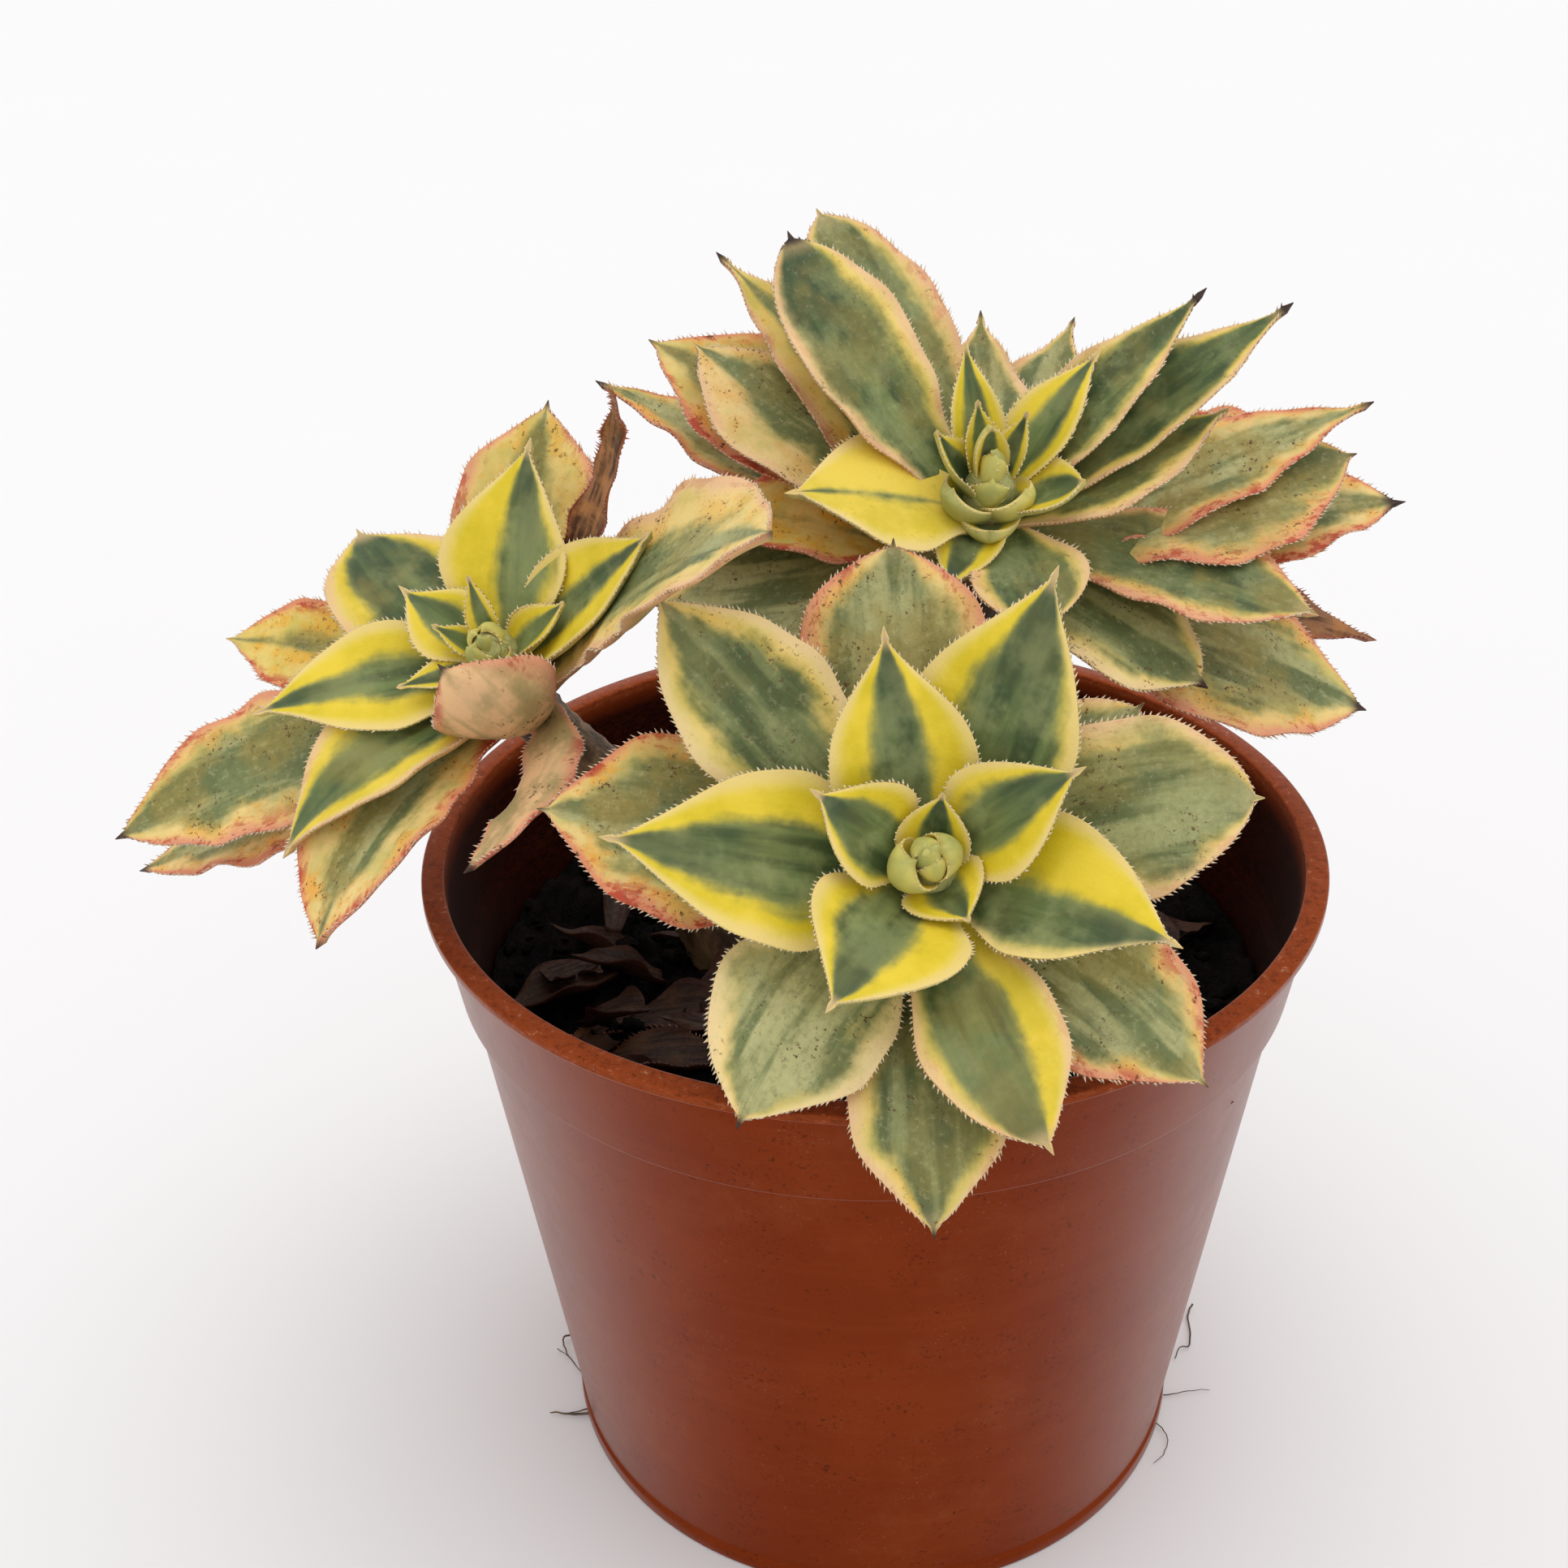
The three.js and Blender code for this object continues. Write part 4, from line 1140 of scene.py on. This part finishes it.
def pot_material():
    material, b, shader = new_material("pot_plastic")
    place = object_place(b)
    x, y, z = b.split(place)
    mottle = b.group(MOTTLE, {"Place": place, "Size": 22.0})
    specks = b.group(SPECKS, {"Place": place, "Amount": 0.8})
    flow = b.noise(b.stretch(place, (0.02, 0.02, 0.5)), 1.0, 3.0, 0.6)
    upright = b.noise(b.stretch(place, (1.4, 1.4, 0.02)), 1.0, 1.0, 0.5)
    scratch_zone = b.ramp(b.noise(b.stretch(place, (0.06, 0.06, 0.02)), 1.0, 2.0, 0.5), 0.56, 0.66)
    scratch = b.times(b.ramp(upright, 0.7, 0.76), scratch_zone)

    # Painted highlight on the lip, then lip scuffs, a faint film and dust
    lip = b.ramp(z, POT_HEIGHT - 1.5, POT_HEIGHT - 0.7)
    wear_and_shade_noise = b.noise(b.stretch(place, (0.6, 0.6, 2.0)), 1.3, 5.0, 0.8)
    film = b.ramp(b.noise(place, 0.06, 5.0, 0.65), 0.54, 0.72)
    colour = b.paint(
        b.two_tone(mottle["Cloud"], 0.35, 0.68, (119, 46, 16), (127, 52, 20)),
        (b.ramp(flow, 0.45, 0.7, 0.0, 0.16), (136, 62, 28)),
        (b.times(scratch, 0.25), (84, 34, 16)),
        # Painted highlight: the top of the lip is made a lighter brown
        (b.times(lip, 0.6), (156, 74, 38)),
        (b.times(lip, b.ramp(wear_and_shade_noise, 0.34, 0.5, 0.7, 0.0)), (92, 44, 26)),
        (b.times(lip, b.ramp(wear_and_shade_noise, 0.57, 0.7), 0.5), (206, 158, 128)),
        (b.times(film, 0.09), (176, 112, 78)),
        (b.times(specks["Dust"], 0.12), (206, 170, 140)),
        (b.times(specks["Crumbs"], 0.7), (40, 20, 14)))

    # Inside, the wall is painted near black, unevenly, as painted shade
    inner = b.add("ShaderNodeAttribute", out="Fac", attribute_name="inner_wall")
    inner = b.times(inner, b.ramp(z, POT_HEIGHT - 3.5, POT_HEIGHT - 0.4, 1.0, 0.0))
    colour = b.paint(colour, (b.times(inner, b.ramp(wear_and_shade_noise, 0.35, 0.65, 0.97, 0.8)), (19, 8, 7)))
    b.feed(shader.inputs["Base Color"], colour)
    rough = b.ramp(mottle["Grain"], 0.3, 0.7, 0.38, 0.5)
    b.feed(shader.inputs["Roughness"], b.plus(rough, b.times(film, 0.1)))
    shader.inputs["Specular IOR Level"].default_value = 0.015
    grazing = b.add("ShaderNodeLayerWeight", {"Blend": 0.5}, out="Facing")
    b.feed(shader.inputs["Coat Weight"], b.ramp(grazing, 0.42, 0.8, 0.0, 1.0))
    shader.inputs["Coat Roughness"].default_value = 0.4
    shader.inputs["Coat IOR"].default_value = 1.7
    height = b.minus(b.plus(b.times(flow, 0.7), b.times(mottle["Grain"], 0.5)), b.times(scratch, 0.5))
    height = b.plus(height, b.times(lip, wear_and_shade_noise, 1.5))
    b.bump(shader, height, 0.3, 0.0003)
    return material


pot.data.materials.clear()
pot.data.materials.append(pot_material())

# %% [markdown]
# Potting soil is a heap of crumbs of every size. A lumpy surface carries the large shapes, and hundreds of
# small crumbs, each pushed out of round by noise, are pressed into it so that its edge against the light
# is never smooth.

# %% Soil surface
SOIL_RINGS = 84
SOIL_STEPS = 230
SOIL_GAP = 0.3
SOIL_FLOOR = FLOOR_TOP + SOIL_GAP
SWELL_DEPTH = 1.1
CLOD_DEPTH = 3.0
SOIL_EDGE = FOOT_RADIUS + (BAND_FOOT_RADIUS - BAND_STEP - FOOT_RADIUS) * SOIL_Z / BAND_FOOT_Z - WALL - 0.35


def soil_height(x, y):
    """Height of the soil in mm: the solid's slow swell with clods and crumbs on it."""
    fade = 1 - (min(math.hypot(x, y) / SOIL_EDGE, 1)) ** 6
    waves = math.sin(0.21 * x + 1) * math.cos(0.17 * y) + 0.6 * math.sin(0.33 * y - 0.2 * x)
    swell = SWELL_DEPTH * fade * waves
    clods = CLOD_DEPTH * noise.fractal(Vector((x * 0.17, y * 0.17, 3.7)), 0.7, 2.1, 4) * (0.3 + 0.7 * fade)
    lumps = 0.9 * abs(noise.noise(Vector((x * 0.7, y * 0.7, 8.1))))
    grains = 0.4 * noise.noise(Vector((x * 1.7, y * 1.7, 1)))
    return SOIL_Z + swell + clods + (lumps + grains)


def soil_profile():
    inner = [(SOIL_EDGE * (1 - (k / SOIL_RINGS)), 0) for k in range(SOIL_RINGS)]
    floor_edge = FOOT_RADIUS - WALL - SOIL_GAP
    return [(0, SOIL_FLOOR), (floor_edge, SOIL_FLOOR)] + inner + [(0, 0)]


soil = turned("soil_heap", soil_profile(), SOIL_STEPS)
for vertex in soil.data.vertices[1 + SOIL_STEPS:]:
    vertex.co.z = soil_height(vertex.co.x / MM, vertex.co.y / MM) * MM
soil.data.shade_smooth()
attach(soil, "root")
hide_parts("soil")
print("soil top:", round(soil.dimensions.z / MM + SOIL_FLOOR, 1), "mm")

# %% [markdown]
# One lump, made once, is the pattern for every crumb. Each is bent, stretched and turned by its own random
# draws, and many more small ones than large ones are drawn, as a sieve would sort them.

# %% Crumbs
CRUMBS = 900
CRUMB_SEED = 7
SMALLEST_CRUMB = 0.35
CRUMB_SPREAD = 1.5


def crumb_arrays(rng, centre, radius, long=1.0):
    """A lump: a small icosphere's points pushed about by noise, flattened and turned."""
    points = []
    seed = rng.uniform(0, 100)
    turn = Matrix.Rotation(rng.uniform(0, 6.28), 3, "Z") @ Matrix.Rotation(rng.uniform(-0.5, 0.5), 3, "X")
    for corner in ICO_POINTS:
        bumpy = 1 + 0.55 * noise.noise(corner * 1.3 + Vector((seed, 0, 0)))
        stretched = Vector((corner.x * long, corner.y, corner.z * 0.7)) * bumpy
        points.append(np.array(centre) + np.array(turn @ (stretched * radius)))
    return dict(points=np.array(points) * MM, faces=ICO_FACES)


def lump_template():
    made = bmesh.new()
    bmesh.ops.create_icosphere(made, subdivisions=2, radius=1)
    made.verts.ensure_lookup_table()
    points = [vertex.co.copy() for vertex in made.verts]
    faces = [tuple(v.index for v in face.verts) for face in made.faces]
    made.free()
    return points, faces


ICO_POINTS, ICO_FACES = lump_template()
rng = np.random.default_rng(CRUMB_SEED)
crumbs = []
while len(crumbs) < CRUMBS:
    angle, reach = rng.uniform(0, 2 * math.pi), SOIL_EDGE * math.sqrt(rng.random())
    radius = SMALLEST_CRUMB + CRUMB_SPREAD * rng.random() ** 4
    if reach + radius > SOIL_EDGE:
        continue
    x, y = reach * math.cos(angle), reach * math.sin(angle)
    crumbs.append(crumb_arrays(rng, (x, y, soil_height(x, y) + radius * 0.25), radius, rng.uniform(0.9, 1.9)))

# %% [markdown]
# Damp peat is nearly black, with browner dry crumbs and a few pale fibres on top. One material serves the
# heap and the crumbs, so that they read as the same stuff.

# %% Soil material
def soil_material():
    material, b, shader = new_material("peat")
    place = object_place(b)
    mottle = b.group(MOTTLE, {"Place": place, "Size": 4.0})
    dry = b.ramp(b.noise(place, 0.22, 5.0, 0.7), 0.6, 0.74)
    colour = b.paint(
        b.two_tone(mottle["Cloud"], 0.4, 0.65, (6, 5, 4), (22, 15, 12)),
        (b.times(dry, 0.4), (70, 48, 34)),
        (b.times(b.ramp(mottle["Grain"], 0.62, 0.74), 0.2), (104, 86, 70)))
    b.coat(shader, colour, mottle["Grain"], 0.5, 0.9)
    shader.inputs["Specular IOR Level"].default_value = 0.08
    b.bump(shader, b.plus(mottle["Cloud"], b.times(mottle["Grain"], 0.7)), 0.9, 0.0008)
    return material


PEAT = soil_material()
soil.data.materials.append(PEAT)
crumb_piece = piece_from("soil_crumbs", crumbs, PEAT)
print("crumbs:", len(crumbs), "faces:", len(crumb_piece.data.polygons))

# %% [markdown]
# Dead leaves drop onto the soil and stay there. The one by the rim is a piece of its own in the solid
# model. A few smaller scraps, each a curled leaf from the same sweep, lie where the photograph shows brown
# litter, and many rotten ones lie between them at random.

# %% Fallen leaf and litter
FALLEN_ROW = (187, 0, 0, -6, 8, 6, 17, 9, 35, "young", "dry")
FALLEN_PLACE = dict(apex=(-17, -21, SOIL_Z + 2.2), axis=(0.05, 0.1, 1), stem=0)
SCRAPS = [
    # x, y, turn, length, width, cup, sway
    (-26, -12, 205, 13, 5, 60, 25),
    (-33, -20, 150, 9, 4, 70, -20),
    (26, -22, 60, 15, 5, 65, 30),
    (35, -10, 110, 12, 6, 55, -30),
    (30, -30, 10, 10, 4, 60, 20),
    (-8, 28, 160, 14, 6, 50, 20),
    (18, 33, 20, 12, 5, 60, -25),
    (-27, 22, 260, 12, 5, 60, 15),
]
ROTTEN_SCRAPS = 84
ROTTEN_MARGIN = 9
FALLEN_SEED, SCRAP_SEED, ROTTEN_SEED, ROTTEN_PLACES_SEED = 5, 60, 200, 21
SCRAP_LIFT = 1.1
SCRAP_WAVE = 0.45
SCRAP_STATIONS = 26


def litter_scrap(x, y, turn, length, width, cup, sway, seed, rise=4, teeth=0.5):
    place = dict(apex=(x, y, soil_height(x, y) + SCRAP_LIFT), axis=(0.05, 0.1, 1), stem=0)
    row = (turn, 0, rise, -8, sway, 12, length, width, cup, "young")
    rng = np.random.default_rng(seed)
    return leaf_arrays(place, row, TONES["dry"], rng, wave=SCRAP_WAVE, teeth=teeth, stations=SCRAP_STATIONS)


fallen = piece_from("fallen_leaf_skin", [leaf_arrays(
    FALLEN_PLACE, FALLEN_ROW, TONES["dry"], np.random.default_rng(FALLEN_SEED), wave=0.4)], FALLEN_LEAF)
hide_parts("fallen_leaf")
scraps = [litter_scrap(*scrap, seed) for seed, scrap in enumerate(SCRAPS, SCRAP_SEED)]
litter = piece_from("leaf_litter", scraps, DAMP_LEAF)
rng = np.random.default_rng(ROTTEN_PLACES_SEED)
rotten = []
for seed in range(ROTTEN_SEED, ROTTEN_SEED + ROTTEN_SCRAPS):
    angle, reach = rng.uniform(0, 2 * math.pi), (SOIL_EDGE - ROTTEN_MARGIN) * math.sqrt(rng.random())
    length = rng.uniform(7, 14)
    x, y, turn = reach * math.cos(angle), reach * math.sin(angle), rng.uniform(0, 360)
    width, cup, sway = length * rng.uniform(0.35, 0.7), rng.uniform(20, 80), rng.uniform(-30, 30)
    rotten.append(litter_scrap(x, y, turn, length, width, cup, sway, seed, rise=rng.uniform(-6, 36), teeth=0))
rotten_piece = piece_from("rotten_scraps", rotten, ROTTEN_LEAF)
print("litter scraps:", len(SCRAPS), "and rotten ones:", len(rotten))

# %% [markdown]
# A few hair roots have grown out through the drain holes and lie by the foot of the pot. Each is a thin
# tube along a smooth curve, the same way as the stems, and together they are one piece. Blender seeds its
# noise vectors by the clock, so they get a seed of their own here, and the roots wander the same way on
# every run.

# %% Hair roots
ROOTS = [
    # radius, then points in mm
    (0.16, (-41, 1.2, 0.4), (-42.6, 0.4, 0.8), (-42.6, -1.2, 1), (-41.6, -3, 0.6), (-39.4, -6, 0.4)),
    (0.08, (-43.4, -1.4, 0.3), (-42.6, -2.3, 0.4), (-41.6, -3, 0.5)),
    (0.2, (-36.6, -13.2, 0.4), (-39.4, -13.4, 0.5), (-41.4, -13, 0.3), (-42.8, -12.9, 0.3)),
    (0.14, (-36.8, -12.2, 0.5), (-38.8, -12.9, 0.6), (-40.8, -13.3, 0.4)),
    (0.15, (45.2, 8.2, 0.6), (44.2, 6.2, 0.4), (44.2, 3.2, 0.3), (43.6, 0.4, 0.4), (42.4, -0.2, 0.6),
     (41.4, -2, 0.3)),
    (0.09, (39, -8.6, 0.3), (41.8, -8, 0.5), (45.4, -7.4, 0.3)),
    (0.09, (37.4, -13.2, 0.3), (38.6, -15.4, 0.5), (38.5, -17.2, 0.4), (37.6, -19, 0.3), (36.4, -20, 0.3)),
]
ROOT_STEPS = 26
ROOT_SIDES = 6
ROOT_WANDER = 0.25
ROOT_THINNING = 0.6
ROOT_SEED = 1


def root_arrays(radius, *points):
    path = smooth_path([np.array(p, float) for p in points], ROOT_STEPS)
    path = path + np.array([ROOT_WANDER * noise.noise_vector(Vector(p) * 0.9) for p in path]) * [1, 1, 0.2]
    ring_points = []
    for i, (centre, tangent) in enumerate(zip(path, np.gradient(path, axis=0))):
        across = unit(np.cross(tangent, (0, 0, 1)))
        over = np.cross(unit(tangent), across)
        thin = radius * (1 - ROOT_THINNING * i / ROOT_STEPS)
        for j in range(ROOT_SIDES):
            angle = j / ROOT_SIDES * 2 * math.pi
            ring_points.append(centre + (across * math.cos(angle) + over * math.sin(angle)) * thin)
    return dict(points=np.array(ring_points) * MM, faces=tube_faces(ROOT_STEPS, ROOT_SIDES))


def root_material():
    material, b, shader = new_material("root_fibre")
    mottle = b.group(MOTTLE, {"Place": object_place(b), "Size": 9.0})
    colour = b.two_tone(mottle["Cloud"], 0.4, 0.6, (40, 30, 24), (112, 90, 68))
    b.coat(shader, colour, mottle["Grain"], 0.6, 0.8)
    return material


noise.seed_set(ROOT_SEED)
roots = piece_from("hair_roots", [root_arrays(*root) for root in ROOTS], root_material())
print("roots:", len(ROOTS))

# %% [markdown]
# The scene is a plain pale floor under even, soft light, like a small product table. The floor is wide
# enough to fill the view from any side, and it fades out of sight because the world is nearly as bright.

# %% Floor
FLOOR_RADIUS = 6.0
FLOOR_DROP = 0.0001


def floor_material():
    material, b, shader = new_material("pale_floor")
    place = object_place(b)
    cloud = b.noise(place, 0.01, 2.0, 0.5)
    pale = b.mix(cloud, (0.845, 0.835, 0.84, 1), (0.855, 0.845, 0.85, 1))
    # Painted shade: the floor is made darker towards the camera, standing in for light falling off
    near = b.ramp(b.split(place)[1], -140.0, 70.0, 0.12, 0.0)
    b.feed(shader.inputs["Base Color"], b.mix(near, pale, (0.6, 0.58, 0.585, 1)))
    shader.inputs["Roughness"].default_value = 0.9
    shader.inputs["Specular IOR Level"].default_value = 0.1
    return material


floor = turned("pale_table", [(FLOOR_RADIUS / MM, 0), (0, 0)], 64)
floor.data.materials.append(floor_material())
floor.location.z = -FLOOR_DROP

# %% [markdown]
# The camera stands where the photographer stood. Its height, distance and lens were worked out from the
# two ellipses of the pot's lip and foot in the photograph, and it looks a little to the left.

# %% Camera
IMAGE_SIZE = 1932
FOCAL_PIXELS = 2500
SENSOR = 36.0
CAMERA_PLACE = (0.0, -204.9, 207.3)
LOOK_DOWN = 29.83
LOOK_LEFT = 2.83
TILT_RIGHT = 1.41

camera_data = bpy.data.cameras.new("photo_camera")
camera_data.sensor_width = SENSOR
camera_data.lens = FOCAL_PIXELS / IMAGE_SIZE * SENSOR
camera_data.clip_start = 0.01
camera_data.clip_end = 50
camera = bpy.data.objects.new("photo_camera", camera_data)
camera.location = Vector(CAMERA_PLACE) * MM
aim = Matrix.Rotation(math.radians(LOOK_LEFT), 3, "Z") @ Matrix.Rotation(math.radians(90 - LOOK_DOWN), 3, "X")
camera.rotation_euler = (aim @ Matrix.Rotation(math.radians(-TILT_RIGHT), 3, "Z")).to_euler()
bpy.context.collection.objects.link(camera)
bpy.context.scene.camera = camera
print("lens:", round(camera_data.lens, 1), "mm")

# %% [markdown]
# Soft light has no edges: the world does most of the work, and one very broad sun from above and a little
# to the right gives the leaves their shape and lays a faint shadow to the left of the pot.

# %% Lights
WORLD_STRENGTH = 0.91
SUN_STRENGTH = 0.76
SUN_SPREAD = 50
SUN_FROM = (0.12, 0.0, 1)

world = bpy.data.worlds.new("studio")
bpy.context.scene.world = world
world.use_nodes = True
world.node_tree.nodes["Background"].inputs["Color"].default_value = (1, 1, 1, 1)
world.node_tree.nodes["Background"].inputs["Strength"].default_value = WORLD_STRENGTH
sun_data = bpy.data.lights.new("broad_sun", "SUN")
sun_data.energy = SUN_STRENGTH
sun_data.angle = math.radians(SUN_SPREAD)
sun = bpy.data.objects.new("broad_sun", sun_data)
sun.rotation_euler = Vector(SUN_FROM).to_track_quat("Z", "Y").to_euler()
bpy.context.collection.objects.link(sun)
bpy.context.scene.view_settings.view_transform = "Standard"
